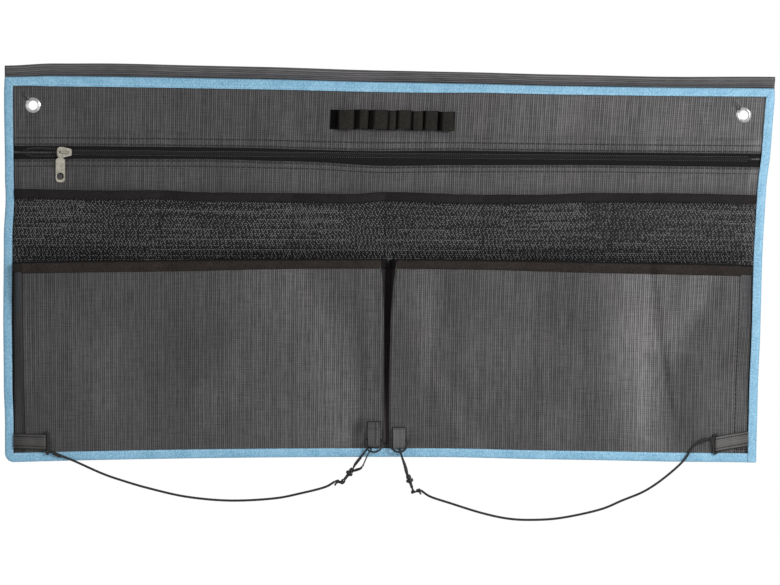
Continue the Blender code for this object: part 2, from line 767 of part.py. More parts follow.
def zip_slider():
    """The slider, with its post, lips and crown, and the pull on the crown's left leg."""
    spot = hang(SLIDER_ACROSS, COIL_DEPTH, ZIP_HEIGHT)
    slope = hang(SLIDER_ACROSS + SLIDER_LENGTH, COIL_DEPTH, ZIP_HEIGHT) - spot
    turn = Matrix.Rotation(math.atan2(-slope.z, slope.x), 3, "Y")
    pivot = pivot_at("zip_slide_pivot", spot, turn)
    half_length = SLIDER_LENGTH / 2
    half = SLIDER_HALF_WIDTH
    shield = mirrored([
        (-half_length, half * 0.45), (-half_length * 0.9, half * 0.8),
        (-half_length * 0.6, half), (-half_length * 0.1, half * 0.97),
        (half_length * 0.5, SLIDER_NARROW * 1.12), (half_length * 0.95, SLIDER_NARROW * 0.9),
        (half_length, SLIDER_NARROW * 0.7),
    ])
    slot_back = TAPE_MIDDLE + CLOTH / 2 + GAP - COIL_DEPTH
    back = slot_back + SLIDER_PLATE
    slot_front = ZIP_PANEL - CLOTH / 2 - GAP - COIL_DEPTH
    chamber = -COIL_RADIUS - GAP
    front = chamber - SLIDER_PLATE
    body_mesh = plate_mesh([shield], back - front)
    body_mesh.transform(Matrix.Translation((0, (back + front) / 2, 0)))
    slider = add_piece("zip_slider", body_mesh, (NICKEL, 0.35, 1.0), pivot)
    edge = slider.modifiers.new("rounding", "BEVEL")
    edge.width = SLIDER_ROUNDING
    edge.segments = 1
    edge.limit_method = "ANGLE"
    reach = 2 * half
    slot = add_cutter("slider_slot", box_mesh((-reach, slot_front, -reach), (reach, slot_back, reach)))
    wide = half - SLIDER_LIP
    narrow = 2 * COIL_RADIUS + 2 * GAP
    throat = mirrored([(-reach, wide + SLIDER_LIP / 3), (half_length * 0.2, narrow), (reach, narrow)])
    channel_mesh = plate_mesh([throat], slot_back - chamber)
    channel_mesh.transform(Matrix.Translation((0, (slot_back + chamber) / 2, 0)))
    channel = add_cutter("slider_channel", channel_mesh)
    start = POST_HALF_WIDTH - half_length
    diamond = mirrored([
        (start, POST_HALF_WIDTH * 0.4), (start + POST_LENGTH * 0.4, POST_HALF_WIDTH),
        (start + POST_LENGTH, POST_HALF_WIDTH * 0.3),
    ])
    post_mesh = plate_mesh([diamond], back - front - SLIDER_PLATE)
    post_mesh.transform(Matrix.Translation((0, (back + front) / 2, 0)))
    post = add_cutter("slider_post", post_mesh)
    left = -CROWN_SPAN / 2
    crown_path = []
    root = front + SLIDER_PLATE * 0.6
    rise = front - CROWN_RISE + CROWN_RADIUS
    crown_path.append((left, root, 0))
    for side in (-1, 1):
        for angle in (0, 30, 60, 90) if side < 0 else (90, 60, 30, 0):
            a = math.radians(angle)
            x = side * (CROWN_SPAN / 2 - CROWN_BEND * (1 - math.cos(a)))
            crown_path.append((x, rise + CROWN_BEND * (1 - math.sin(a)), 0))
    crown_path.append((-left, root, 0))
    crown = add_cutter("slider_crown", tube_mesh(crown_path, CROWN_RADIUS))
    for tool in (slot, channel, post, crown):
        tool.parent = pivot
    boolean(slider, slot)
    boolean(slider, channel)
    boolean(slider, post, "UNION")
    boolean(slider, crown, "UNION")
    leg = pivot.matrix_world @ Vector((left, 0, 0))
    pull_pivot = pivot_at("pull_swing_pivot", leg)
    middle = front - GAP - PULL_THICKNESS / 2
    pull_mesh = plate_mesh(pull_outlines(), PULL_THICKNESS)
    pull_mesh.transform(Matrix.Translation((0, middle, 0)))
    pull = add_piece("zip_pull", pull_mesh, (NICKEL, 0.3, 1.0), pull_pivot)
    soft = pull.modifiers.new("rounding", "BEVEL")
    soft.width = PULL_ROUNDING
    soft.segments = 1
    soft.limit_method = "ANGLE"


def circle(radius, down, steps):
    """Points of a circle whose middle is down below the origin."""
    spots = []
    for i in range(steps):
        a = math.tau * i / steps
        spots.append((radius * math.cos(a), -down + radius * math.sin(a)))
    return spots


def pull_outlines():
    """The pull hanging from its eye: outer edge, eye hole and round hole."""
    outer = []
    for angle in range(-30, 211, 30):
        a = math.radians(angle)
        outer.append((PULL_EYE_RADIUS * math.cos(a), PULL_EYE_RADIUS * math.sin(a)))
    half = PULL_HALF_WIDTH
    bottom = -PULL_LENGTH
    left = [
        (-PULL_NECK_HALF, -PULL_EYE_RADIUS), (-PULL_NECK_HALF, PULL_CORNER * 0.67 - PULL_NECK),
        (PULL_CORNER / 3 - half, -PULL_NECK), (-half, -PULL_NECK - PULL_CORNER / 3),
        (-half, bottom + PULL_CORNER), (PULL_CORNER * 0.3 - half, bottom + PULL_CORNER * 0.3),
        (PULL_CORNER - half, bottom),
    ]
    outer += left + [(-x, z) for x, z in reversed(left)]
    return [outer, circle(CROWN_RADIUS + PULL_EYE_PLAY, 0.0, 12),
            circle(PULL_HOLE_RADIUS, PULL_HOLE_DOWN, 20)]


def folded_hem(name, across, top, depth, width, room, finish):
    """A tape folded over the top edge of a sheet; room is from its middle to the tape's."""
    section = [(-width, -room), (0.0, -room), (0.7 * room, 0.0), (0.0, room), (-width, room)]
    lines = []
    for rise, forward in section:
        line = []
        for u in across:
            w = top(u) + rise
            line.append(hang(u, depth(u, min(w, top(u))) + forward, w))
        lines.append(line)
    laid(name, lines, finish)


def net_pockets():
    """The net, sewn down between six pockets, and the tape along their mouth."""
    across = net_across()[1:-1]
    across[0] += NET_THREAD
    across[-1] -= NET_THREAD
    up = net_levels()
    lines = pattern_lines(across, up, net_depth)
    form = bmesh.new()
    columns = len(across) - 1
    rows = len(up) - 1
    bmesh.ops.create_grid(form, x_segments=columns, y_segments=rows, size=0.5)
    for vertex in form.verts:
        column = round((vertex.co.x + 0.5) * columns)
        row = round((vertex.co.y + 0.5) * rows)
        vertex.co = lines[row][column]
    straight = [edge for edge in form.edges if not edge.is_boundary]
    bmesh.ops.poke(form, faces=form.faces)
    bmesh.ops.dissolve_edges(form, edges=straight, use_verts=False)
    mesh = bpy.data.meshes.new("mesh_strip")
    form.to_mesh(mesh)
    form.free()
    net = add_piece("mesh_strip", mesh, (FABRIC_BLACK, 0.9))
    threads = net.modifiers.new("threads", "WIREFRAME")
    threads.thickness = NET_THREAD
    threads.use_boundary = True
    threads.use_replace = True
    threads.use_even_offset = False
    threads.offset = 0
    folded_hem(
        "mesh_hem", across, lambda u: NET_HEM_TOP, net_depth, NET_HEM_WIDTH,
        NET_THREAD / 2 + GAP + CLOTH / 2, (FABRIC_BLACK, 0.85),
    )


def lower_pocket(side, word):
    """One lower pocket: its front, the tape on its mouth and its two gussets."""
    outer_width = OUTER_GUSSET_LEFT if side < 0 else OUTER_GUSSET_RIGHT
    beside_binding = BINDING_INNER - CLOTH / 2 - 2 * GAP

    def front_line(share, parts=12):
        line = []
        for part in steps_between(0.0, 1.0, parts):
            top = mouth_height(side * part * HALF_WIDTH) - 2 * GAP
            w = top + (POCKET_SEAM - top) * share
            reach = BINDING_INNER - outer_width
            if side < 0:
                reach += (beside_binding - reach) * ease(share, 0.2, GUSSET_SHARE)
            inner = CENTRE_SEAM + side * centre_gap(0.0, w)
            line.append((inner + (side * reach - inner) * part, w))
        return line

    hem_share = POCKET_HEM_WIDTH / (POCKET_MOUTH - POCKET_SEAM)
    rows = [1.0, 0.93, GUSSET_SHARE, 0.64, 0.48, 0.32, 0.18, 0.1, hem_share, 0.0]
    sheet = []
    sewn = [(u, SHEET_BOTTOM) for u, _ in front_line(1.0)]
    for line in [sewn] + [front_line(share) for share in rows]:
        ordered = line if side > 0 else line[::-1]
        points = []
        for u, w in ordered:
            flat_u, flat_w = pulled_corner(u, w)
            points.append(hang(flat_u, pocket_depth(u, w), flat_w))
        sheet.append(points)
    laid("pocket_" + word + "_front", sheet, (FABRIC_GREY, 0.75))
    hem_across = [u for u, _ in front_line(0.0)]
    folded_hem(
        "pocket_" + word + "_hem", hem_across if side > 0 else hem_across[::-1],
        mouth_height, pocket_depth, POCKET_HEM_WIDTH, LAYER, (HEM_BROWN, 0.85),
    )
    behind_front = CLOTH + 2 * GAP
    behind_hem = behind_front + LAYER
    gusset_rows = [
        (GUSSET_SHARE, behind_front), (0.64, behind_front), (0.48, behind_front),
        (0.32, behind_front), (0.18, behind_front), (hem_share + 0.01, behind_front),
        (hem_share + 0.001, behind_hem), (0.0, behind_hem),
    ]
    root_top = ZIP_POCKET_BOTTOM - LAYER
    root_depth = BACK_PANEL - LAYER
    for place, index in (("inner", 0), ("outer", -1)):
        inward = side if place == "inner" else -side
        lines = []
        for share, behind in gusset_rows:
            u, w = front_line(share)[index]
            if place == "inner":
                root_u = CENTRE_SEAM + side * (CENTRE_GAP_LOW - CLOTH)
            else:
                root_u = side * beside_binding
            root_w = min(w, root_top - mouth_height(0) + mouth_height(root_u))
            root = hang(root_u, root_depth, root_w - share * LAYER)
            edge = hang(u + inward * CLOTH, pocket_depth(u, w) + behind, w)
            lines.append([root, edge] if inward > 0 else [edge, root])
        colour = FABRIC_GREY if side > 0 and place == "outer" else FABRIC_BLACK
        laid("pocket_" + word + "_gusset_" + place, lines, (colour, 0.8))


def corner_tab(side, word, root_w, free_w, knot_up, knot_out):
    """A tab folded round a cord loop, with the knot on it; returns the knot's middle."""
    fold_u = side * (BINDING_INNER - GAP - CORNER_TAB_LENGTH)
    highest = max(free_w, root_w) + CORNER_TAB_HEIGHT / 2
    back = pocket_depth(fold_u, highest) - LAYER - GAP
    bend = CORD_RADIUS + GAP + CLOTH / 2
    centre_y = back - bend
    root_u = side * (BINDING_INNER - GAP)
    sewn_u = side * (BINDING_INNER - GAP - CORNER_TAB_SEWN)
    turn_u = fold_u + side * bend
    path = [(root_u, back), (sewn_u, back), (turn_u, back)]
    for angle in (45, 90, 135):
        a = math.radians(angle)
        path.append((turn_u - side * bend * math.sin(a), centre_y + bend * math.cos(a)))
    path += [(turn_u, back - 2 * bend), (sewn_u, back - LAYER), (root_u, back - LAYER)]
    span = abs(root_u - fold_u)
    lines = []
    for end in (-1, 1):
        line = []
        for u, y in path:
            w = free_w + (root_w - free_w) * abs(u - fold_u) / span
            line.append(hang(u, y, w + end * CORNER_TAB_HEIGHT / 2))
        lines.append(line if side < 0 else line[::-1])
    laid("tab_corner_" + word, lines, (FABRIC_GREY, 0.75))
    inner_leg = hang(turn_u, centre_y, free_w)
    outer_x = inner_leg.x - side * (bend + CLOTH / 2 + GAP + CORD_RADIUS)
    half = CORNER_TAB_HEIGHT / 2 + GAP
    radius = abs(outer_x - inner_leg.x) / 2
    middle_x = (outer_x + inner_leg.x) / 2
    ring = []
    for end in (1, -1):
        for angle in (0, 45, 90, 135, 180):
            a = math.radians(angle)
            ring.append(Vector((
                middle_x + end * radius * math.cos(a), centre_y,
                inner_leg.z + end * (half + radius * math.sin(a)),
            )))
    anchor = add_piece(
        "cord_anchor_" + word, tube_mesh(ring, CORD_RADIUS, cyclic=True),
        (HARDWARE_BLACK, 0.8),
    )
    knot = Vector((outer_x - side * knot_out, centre_y, inner_leg.z + knot_up))
    ball = add_cutter("knot_" + word, ball_mesh(KNOT_RADIUS, 0.85), Matrix.Translation(knot))
    boolean(anchor, ball, "UNION")
    return knot


def centre_tab(tab_u, top_w, bottom_w, word):
    """A tab folded round a ring, and the ring; returns the ring's top and forward tilt."""
    half = CENTRE_TAB_WIDTH / 2
    drop = RING_RADIUS - math.sqrt(RING_RADIUS ** 2 - half ** 2)
    room = 2 * RING_WIRE + 2 * GAP + (drop + RING_WIRE) * math.sin(RING_TILT)
    bend = (room + CLOTH) / 2

    def back(w):
        return min(pocket_depth(tab_u, w), BINDING_FRONT) - LAYER

    fold_w = bottom_w + CLOTH / 2 + bend
    path = [(back(w), w) for w in (top_w, RING_TOP + RING_PINCH, RING_TOP, fold_w)]
    path.append((back(fold_w) - bend * 0.3, fold_w - bend * 0.75))
    path.append((back(fold_w) - bend, fold_w - bend))
    path.append((back(fold_w) - bend * 1.7, fold_w - bend * 0.75))
    path.append((back(fold_w) - 2 * bend, fold_w))
    path.append((back(RING_TOP) - 2 * bend, RING_TOP + RING_WIRE))
    path.append((back(top_w) - LAYER - CLOTH, RING_TOP + RING_PINCH))
    path.append((back(top_w) - LAYER, top_w))
    lines = []
    for y, w in reversed(path):
        lines.append([hang(tab_u + side * half, y, w) for side in (-1, 0, 1)])
    laid("tab_centre_" + word, lines, (FABRIC_GREY, 0.75))
    top = hang(tab_u, back(RING_TOP) - CLOTH / 2 - GAP - RING_WIRE, RING_TOP)
    tilt = Matrix.Rotation(-RING_TILT, 3, "X")
    centre = top + tilt @ Vector((0, 0, -RING_RADIUS))
    ring = add_piece(
        "ring_" + word, torus_mesh(RING_RADIUS, RING_WIRE, 28, 8), (HARDWARE_BLACK, 0.35, 1.0),
    )
    ring.matrix_world = Matrix.Translation(centre) @ tilt.to_4x4()
    return centre, tilt


def hook_turn(lean, roll):
    """Rotation of a hook: its length leans from upright, then rolls about itself."""
    along = Vector((math.sin(lean), 0, math.cos(lean)))
    beside = Vector((math.cos(lean), 0, -math.sin(lean)))
    wide = beside * math.cos(roll) + Vector((0, -1, 0)) * math.sin(roll)
    thick = along.cross(wide)
    return Matrix((wide, thick, along)).transposed()


def hook(word, ring_centre, ring_tilt, around, lean, roll, knot, route):
    """A snap hook clipped on the ring: swivel, frame and gate, and the cord tied to it."""
    spot = Vector((math.sin(around), 0, math.cos(around))) * RING_RADIUS
    contact = ring_centre + ring_tilt @ spot
    turn = hook_turn(lean, roll)
    seat = Vector((HOOK_BOW_RADIUS - HOOK_SPINE_OFFSET, 0, HOOK_BOW_CENTRE))
    eye = contact - turn @ seat
    reach = (contact - knot).normalized()
    start = knot + reach * (KNOT_RADIUS + GAP)
    swag = pivot_at("cord_" + word + "_swing_pivot", start)
    cord_points = [start, start + reach * CORD_START]

    def front(x):
        return start.y + (contact.y - start.y) * (x - start.x) / (contact.x - start.x)

    tie_side = -1 if route[-1][0] < eye.x else 1
    tie = eye + Vector((
        tie_side * (SWIVEL_EYE_RADIUS + SWIVEL_EYE_WIRE + GAP + TIE_RADIUS), 0, 0,
    ))
    cord_end = tie + Vector((tie_side * (TIE_RADIUS + GAP), 0, 0))
    cord_points += [Vector((x, front(x), z)) for x, z in route]
    cord_points += [cord_end + Vector((tie_side * CORD_STEP, 0, 0)), cord_end]
    local = [point - start for point in smooth_curve(cord_points, CORD_STEP)]
    add_piece("cord_" + word, tube_mesh(local, CORD_RADIUS), (HARDWARE_BLACK, 0.85), swag)
    knot_piece = add_piece(
        "cord_tie_" + word, ball_mesh(TIE_RADIUS), (HARDWARE_BLACK, 0.85), swag,
    )
    knot_piece.location = tie - start

    turning = pivot_at("hook_" + word + "_turn_pivot", eye, turn)
    swivel = add_piece(
        "hook_" + word + "_swivel",
        torus_mesh(SWIVEL_EYE_RADIUS, SWIVEL_EYE_WIRE, 16, 8), (HARDWARE_BLACK, 0.4),
    )
    swivel.matrix_world = turning.matrix_world
    stem_start = SWIVEL_EYE_RADIUS
    stem = cylinder_mesh(SWIVEL_STEM_RADIUS, SWIVEL_COLLAR_START - stem_start + SWIVEL_EYE_WIRE, 12)
    stem.transform(Matrix.Translation((0, 0, stem_start)))
    collar = cylinder_mesh(
        SWIVEL_COLLAR_RADIUS, SWIVEL_COLLAR_LENGTH, 16, SWIVEL_COLLAR_RADIUS * 0.8,
    )
    collar.transform(Matrix.Translation((0, 0, SWIVEL_COLLAR_START)))
    pin_start = SWIVEL_COLLAR_START + SWIVEL_COLLAR_LENGTH / 2
    pin_length = HOOK_BOSS_START - pin_start + SWIVEL_PIN_LENGTH
    pin = cylinder_mesh(SWIVEL_PIN_RADIUS, pin_length, 12)
    pin.transform(Matrix.Translation((0, 0, pin_start)))
    for label, mesh in (("stem", stem), ("collar", collar), ("pin", pin)):
        tool = add_cutter("swivel_" + word + "_" + label, mesh, turning.matrix_world)
        boolean(swivel, tool, "UNION")

    radius = HOOK_BOW_RADIUS
    spine_start = HOOK_BOSS_START + HOOK_BOSS_LENGTH - HOOK_WIRE
    boss_top = HOOK_BOSS_START + HOOK_BOSS_LENGTH
    spine = [(0, 0, spine_start), (0, 0, boss_top)]
    spine += [(-HOOK_SPINE_OFFSET, 0, boss_top + HOOK_SPINE_BEND)]
    spine += [(-HOOK_SPINE_OFFSET, 0, HOOK_BOW_CENTRE)]
    bow_x = radius - HOOK_SPINE_OFFSET
    for angle in range(150, -1, -30):
        a = math.radians(angle)
        spine.append((bow_x + radius * math.cos(a), 0, HOOK_BOW_CENTRE + radius * math.sin(a)))
    nose_z = HOOK_BOW_CENTRE - HOOK_NOSE
    nose_x = bow_x + radius
    spine.append((nose_x, 0, nose_z))
    frame = add_piece(
        "hook_" + word + "_frame", tube_mesh(spine, HOOK_WIRE), (HARDWARE_BLACK, 0.35, 0.6),
        turning,
    )
    boss = cylinder_mesh(HOOK_BOSS_RADIUS, HOOK_BOSS_LENGTH, 16, HOOK_BOSS_RADIUS * 0.75)
    boss.transform(Matrix.Translation((0, 0, HOOK_BOSS_START)))
    base_z = HOOK_BOSS_START + HOOK_BOSS_LENGTH * 0.7
    arm_reach = HOOK_ARM_REACH
    arm_curve = [
        (0, 0, base_z), (arm_reach * 0.34, 0, base_z + arm_reach * 0.03),
        (arm_reach * 0.62, 0, base_z + arm_reach * 0.27),
        (arm_reach * 0.97, 0, HOOK_ARM_TIP - arm_reach * 0.3), (arm_reach, 0, HOOK_ARM_TIP),
    ]
    arm = tube_mesh(arm_curve, HOOK_WIRE)
    bore = cylinder_mesh(SWIVEL_PIN_RADIUS + GAP, SWIVEL_PIN_LENGTH + 2 * GAP, 12)
    bore.transform(Matrix.Translation((0, 0, HOOK_BOSS_START - GAP)))
    for label, mesh, way in (
        ("boss", boss, "UNION"), ("arm", arm, "UNION"), ("bore", bore, "DIFFERENCE"),
    ):
        tool = add_cutter("frame_" + word + "_" + label, mesh)
        tool.parent = turning
        boolean(frame, tool, way)

    gate_start = Vector((HOOK_ARM_REACH, 0, HOOK_ARM_TIP + GATE_WIRE + GAP))
    gate_end = Vector((nose_x, 0, nose_z - 2 * GAP))
    gate_pivot = pivot_at("gate_" + word + "_pivot", turning.matrix_world @ gate_start, turn)
    gate = add_piece(
        "hook_" + word + "_gate",
        tube_mesh([(0, 0, 0), gate_end - gate_start], GATE_WIRE), (HARDWARE_BLACK, 0.3, 0.8),
        gate_pivot,
    )
    knuckle = add_cutter("gate_" + word + "_knuckle", ball_mesh(GATE_WIRE))
    knuckle.parent = gate_pivot
    boolean(gate, knuckle, "UNION")


rail()
edge_binding()
panels()
for eyelet_side, eyelet_word in ((-1, "left"), (1, "right")):
    eyelet(eyelet_side, eyelet_word)
elastic_loops()
zip_tapes()
zip_slider()
net_pockets()
lower_pocket(-1, "left")
lower_pocket(1, "right")
knot_left, knot_right = [corner_tab(*tab) for tab in CORNER_TABS]
ring_left, ring_right = [centre_tab(*tab) for tab in CENTRE_TABS]
for hook_word, hook_ring, hook_place, hook_knot, hook_route in (
    ("left", ring_left, HOOK_PLACES[0], knot_left, CORD_LEFT_ROUTE),
    ("right", ring_right, HOOK_PLACES[1], knot_right, CORD_RIGHT_ROUTE),
):
    hook(hook_word, *hook_ring, *map(math.radians, hook_place), hook_knot, hook_route)
bpy.context.view_layer.update()
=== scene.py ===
"""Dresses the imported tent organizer: cloth, tapes, threads, net, zip, cords and metal."""

import math
import random

import bmesh
import bpy
import numpy as np
from mathutils import Matrix, Vector, noise


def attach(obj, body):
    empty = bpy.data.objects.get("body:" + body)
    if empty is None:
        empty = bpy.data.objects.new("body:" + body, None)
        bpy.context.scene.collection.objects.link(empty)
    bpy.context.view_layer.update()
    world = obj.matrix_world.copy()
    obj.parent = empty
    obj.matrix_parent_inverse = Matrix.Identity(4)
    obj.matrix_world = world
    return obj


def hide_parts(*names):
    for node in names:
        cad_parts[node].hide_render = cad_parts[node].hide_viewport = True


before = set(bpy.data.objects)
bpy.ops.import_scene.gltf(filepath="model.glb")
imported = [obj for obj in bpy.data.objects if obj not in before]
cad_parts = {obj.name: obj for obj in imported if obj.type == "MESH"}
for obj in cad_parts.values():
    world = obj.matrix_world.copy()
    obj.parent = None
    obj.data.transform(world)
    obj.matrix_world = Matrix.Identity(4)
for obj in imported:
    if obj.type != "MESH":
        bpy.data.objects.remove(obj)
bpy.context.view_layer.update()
scene = bpy.context.scene
scene.view_settings.view_transform = "Standard"

# Measures of the part, in metres, as in its source: the panel and its edge
CLOTH = 0.0008
GAP = 0.0003
LAYER = CLOTH + GAP
PANEL_WIDTH = 1.0
HALF_WIDTH = PANEL_WIDTH / 2
PANEL_BOTTOM = -0.498
BINDING_TOP = -0.0114
BINDING_WIDTH = 0.0115
BINDING_TURN = 0.0018
BINDING_PITCH = 0.0039
BINDING_INNER = HALF_WIDTH - BINDING_WIDTH
CORNER_RADIUS = 0.003
ROUND_CORNER_RADIUS = 0.012
EDGE_INSET = 0.0024
SHEET_SIDE = HALF_WIDTH - EDGE_INSET
SHEET_TOP = BINDING_TOP - EDGE_INSET
SHEET_BOTTOM = PANEL_BOTTOM + EDGE_INSET
TILT = 0.0076
LEAN = 0.0245
BOW = 0.007
BOW_START = 0.3
BEAD_RADIUS = 0.003
FLANGE_BOTTOM = -0.0232

# Eyelets and elastic loops
EYELET_ACROSS = HALF_WIDTH - 0.037
EYELET_UP = -0.0477
EYELETS = (-EYELET_ACROSS, EYELET_ACROSS)
EYELET_HOLE_RADIUS = 0.0062
EYELET_WALL = 0.0006
EYELET_FLANGE_RADIUS = 0.0098
EYELET_DOME = 0.0013
WASHER_THICKNESS = 0.0008
ELASTIC = 0.0012
LOOP_COUNT = 8
LOOP_PITCH = 0.0188
LOOP_SEAM = 0.0034
LOOP_RISE = 0.0085
LOOP_END = 0.006
LOOPS_ACROSS = 0.006
LOOPS_UP = -0.0608
ELASTIC_WIDTH = 0.025

# Zip, with the sheets beside it and its pocket
ZIP_UP = -0.1065
ZIP_DEPTH = 0.0038
TAPE_WIDTH = 0.016
TAPE_INNER = 0.0015
COIL_RADIUS = 0.0012
COIL_END = HALF_WIDTH - 0.0235
COIL_OPEN_INSET = 0.038
COIL_PITCH = 0.00135
COIL_STEPS = 8
ZIP_ENDS = (-0.48, 0.48)
SIDE_TAPER = 0.012
HEADER_BOTTOM = -0.0998
HEADER_SLOPE_TOP = -0.0755
HEADER_SLOPE_BOTTOM = -0.0865
LOWER_PANEL_TOP = -0.119
ZIP_SEAM_BOTTOM = -0.1262
ZIP_POCKET_DEEP_TOP = -0.142
ZIP_POCKET_DEEP_BOTTOM = -0.215
ZIP_POCKET_BOTTOM = -0.2515
ZIP_POCKET_DEPTH = 0.0065
SLIDER_LENGTH = 0.0192
SLIDER_ACROSS = 0.0782 - HALF_WIDTH
POST_LENGTH = 0.005

# Net pockets and lower pockets
NET_HEM_TOP = -0.1558
NET_HEM_WIDTH = 0.0104
NET_BOTTOM = -0.2475
NET_DIVIDERS = tuple(HALF_WIDTH * share for share in (-0.59, -0.24, 0.003, 0.26, 0.602))
NET_THREAD = 0.0014
NET_BULGE = 0.009
POCKET_MOUTH = -0.2418
POCKET_HEM_WIDTH = 0.0116
POCKET_DROOP = 0.0055
POCKET_STAND = 0.022
POCKET_TAPER = 1.2
POCKET_FOLD = 0.0016
OUTER_GUSSET_LEFT = 0.0131
OUTER_GUSSET_RIGHT = 0.0165
CENTRE_SEAM = 0.0073
CENTRE_GAP_MOUTH = 0.011
CENTRE_GAP_LOW = 0.0036
POCKET_SEAM = PANEL_BOTTOM + BINDING_WIDTH + LAYER

# Tabs, cords and rings
CORNER_TAB_HEIGHT = 0.019
CORNER_TAB_LENGTH = 0.0432
CORNER_TAB_SEWN = 0.024
CORNER_TAB_SEAM = 0.0058
CORD_RADIUS = 0.0015
KNOT_RADIUS = 0.0031
TIE_RADIUS = 0.0028
CORD_START = 0.004
CENTRE_TAB_WIDTH = 0.0174
RING_RADIUS = 0.0108
RING_WIRE = 0.00105
RING_TILT = math.radians(20)
RING_TOP = -0.4708

# Snap hooks, along each from its swivel's eye
HOOK_WIRE = 0.00115
HOOK_BOW_RADIUS = 0.004
HOOK_BOW_CENTRE = 0.0525
HOOK_SPINE_OFFSET = 0.0018
HOOK_SPINE_BEND = 0.006
HOOK_BOSS_START = 0.0158
HOOK_BOSS_LENGTH = 0.0055
HOOK_BOSS_RADIUS = 0.0034
HOOK_ARM_REACH = 0.0132
HOOK_ARM_TIP = 0.0315
HOOK_NOSE = 0.003
GATE_WIRE = 0.0009
SWIVEL_EYE_RADIUS = 0.0031
SWIVEL_EYE_WIRE = 0.0011
SWIVEL_STEM_RADIUS = 0.002
SWIVEL_COLLAR_RADIUS = 0.0047
SWIVEL_COLLAR_START = 0.0115
SWIVEL_COLLAR_LENGTH = 0.004
SWIVEL_PIN_RADIUS = 0.0014
SWIVEL_PIN_LENGTH = 0.0036

# Depths of the layers, from the back of the panel to its front
REAR = BEAD_RADIUS + GAP + CLOTH / 2
SLEEVE_FRONT = REAR - LAYER
BINDING_BACK = REAR - 2 * LAYER
BACK_PANEL = REAR - 3 * LAYER
TAPE_EDGE = REAR - 4 * LAYER
FRONT_PANEL = REAR - 5 * LAYER
POCKET_EDGE = REAR - 6 * LAYER
BINDING_FRONT = REAR - 7 * LAYER
TAPE_MIDDLE = BACK_PANEL - ZIP_DEPTH
ZIP_PANEL = TAPE_MIDDLE - LAYER
COIL_DEPTH = TAPE_MIDDLE - CLOTH / 2 - GAP - COIL_RADIUS
POCKET_PANEL = BACK_PANEL - CLOTH - ZIP_POCKET_DEPTH

# The photograph's frame, in metres at the panel
FRAME_WIDTH = 1.013
FRAME_MIDDLE = -0.2844
CAMERA_AWAY = 6.0
SENSOR = 36.0


def camera():
    """A long lens square in front of the panel."""
    eye = bpy.data.cameras.new("camera")
    eye.sensor_width = SENSOR
    eye.lens = SENSOR * CAMERA_AWAY / FRAME_WIDTH
    eye.clip_start, eye.clip_end = 0.1, 50.0
    holder = bpy.data.objects.new("camera", eye)
    holder.location = (0.0, -CAMERA_AWAY, FRAME_MIDDLE)
    holder.rotation_euler = (math.radians(90), 0.0, 0.0)
    scene.collection.objects.link(holder)
    scene.camera = holder


camera()

# Routes of the cords in x and z, from the corner tab to the hook
CORD_LEFT_ROUTE = (
    (-0.4230, -0.4975), (-0.4071, -0.5040), (-0.3740, -0.5188), (-0.3481, -0.5279),
    (-0.3117, -0.5385), (-0.2636, -0.5492), (-0.2078, -0.5541), (-0.1506, -0.5513),
    (-0.1130, -0.5440), (-0.0844, -0.5366),
)
CORD_RIGHT_ROUTE = (
    (0.4030, -0.4765), (0.3922, -0.4858), (0.3792, -0.5040), (0.3545, -0.5256),
    (0.3296, -0.5421), (0.3013, -0.5539), (0.2714, -0.5660), (0.2221, -0.5765),
    (0.1844, -0.5791), (0.1519, -0.5773), (0.1169, -0.5696), (0.0774, -0.5572),
    (0.0526, -0.5490),
)

# How the cloth hangs out of true: (place along the edge, shift)
TOP_WAVE = (
    (-0.50, 0.0), (-0.43, 0.0022), (-0.34, 0.0024), (-0.17, 0.0018), (0.0, 0.0),
    (0.09, -0.0004), (0.22, -0.0017), (0.34, -0.0018), (0.50, -0.0008),
)
STRIP_WAVE = (
    (-0.50, -0.0012), (-0.44, 0.0003), (-0.36, 0.0012), (-0.25, 0.0005), (0.0, -0.0003),
    (0.22, -0.0003), (0.35, -0.0010), (0.50, 0.0),
)
LEFT_WAVE = (
    (0.0, -0.0002), (-0.034, -0.0012), (-0.138, 0.0), (-0.164, 0.0008), (-0.216, -0.0015),
    (-0.320, -0.0022), (-0.398, -0.0015), (-0.450, 0.0), (-0.498, 0.0),
)
RIGHT_WAVE = (
    (0.0, 0.0), (-0.031, 0.0022), (-0.099, 0.0027), (-0.140, 0.0008), (-0.216, 0.0010),
    (-0.332, 0.0026), (-0.420, 0.0012), (-0.498, 0.0),
)
HEADER_EDGE_WAVE = (
    (-0.50, 0.0008), (-0.37, 0.0012), (-0.21, 0.0012), (-0.03, -0.0014), (0.10, 0.0003),
    (0.27, 0.0), (0.50, 0.0003),
)
LOWER_EDGE_WAVE = (
    (-0.50, 0.0036), (-0.37, 0.0050), (-0.24, 0.0058), (-0.12, 0.0038), (0.0, -0.0010),
    (0.10, 0.0010), (0.27, 0.0024), (0.50, 0.0016),
)
NET_HEM_WAVE = (
    (-0.50, 0.0010), (-0.37, -0.0006), (-0.295, 0.0004), (-0.24, -0.0020), (-0.12, -0.0021),
    (-0.045, -0.0028), (0.0, 0.0003), (0.12, -0.0023), (0.20, -0.0018), (0.28, 0.0011),
    (0.385, 0.0013), (0.50, -0.0003),
)
BOTTOM_WAVE = ((-0.50, 0.0), (0.08, 0.0), (0.22, -0.0017), (0.37, -0.0019), (0.50, -0.0004))
# Where the waves of the edges fade: the first two as shares of the height
TOP_WAVE_END = 0.22
BOTTOM_WAVE_SPAN = (0.75, 0.97)
SIDE_WAVE_SPAN = (0.45, 0.485)


def steps_between(start, end, count):
    """Evenly spaced values from start to end, both included."""
    return [start + (end - start) * i / count for i in range(count + 1)]


def rough(spot, height):
    """Smooth noise at a spot, as a height."""
    return noise.noise(Vector(spot)) * height


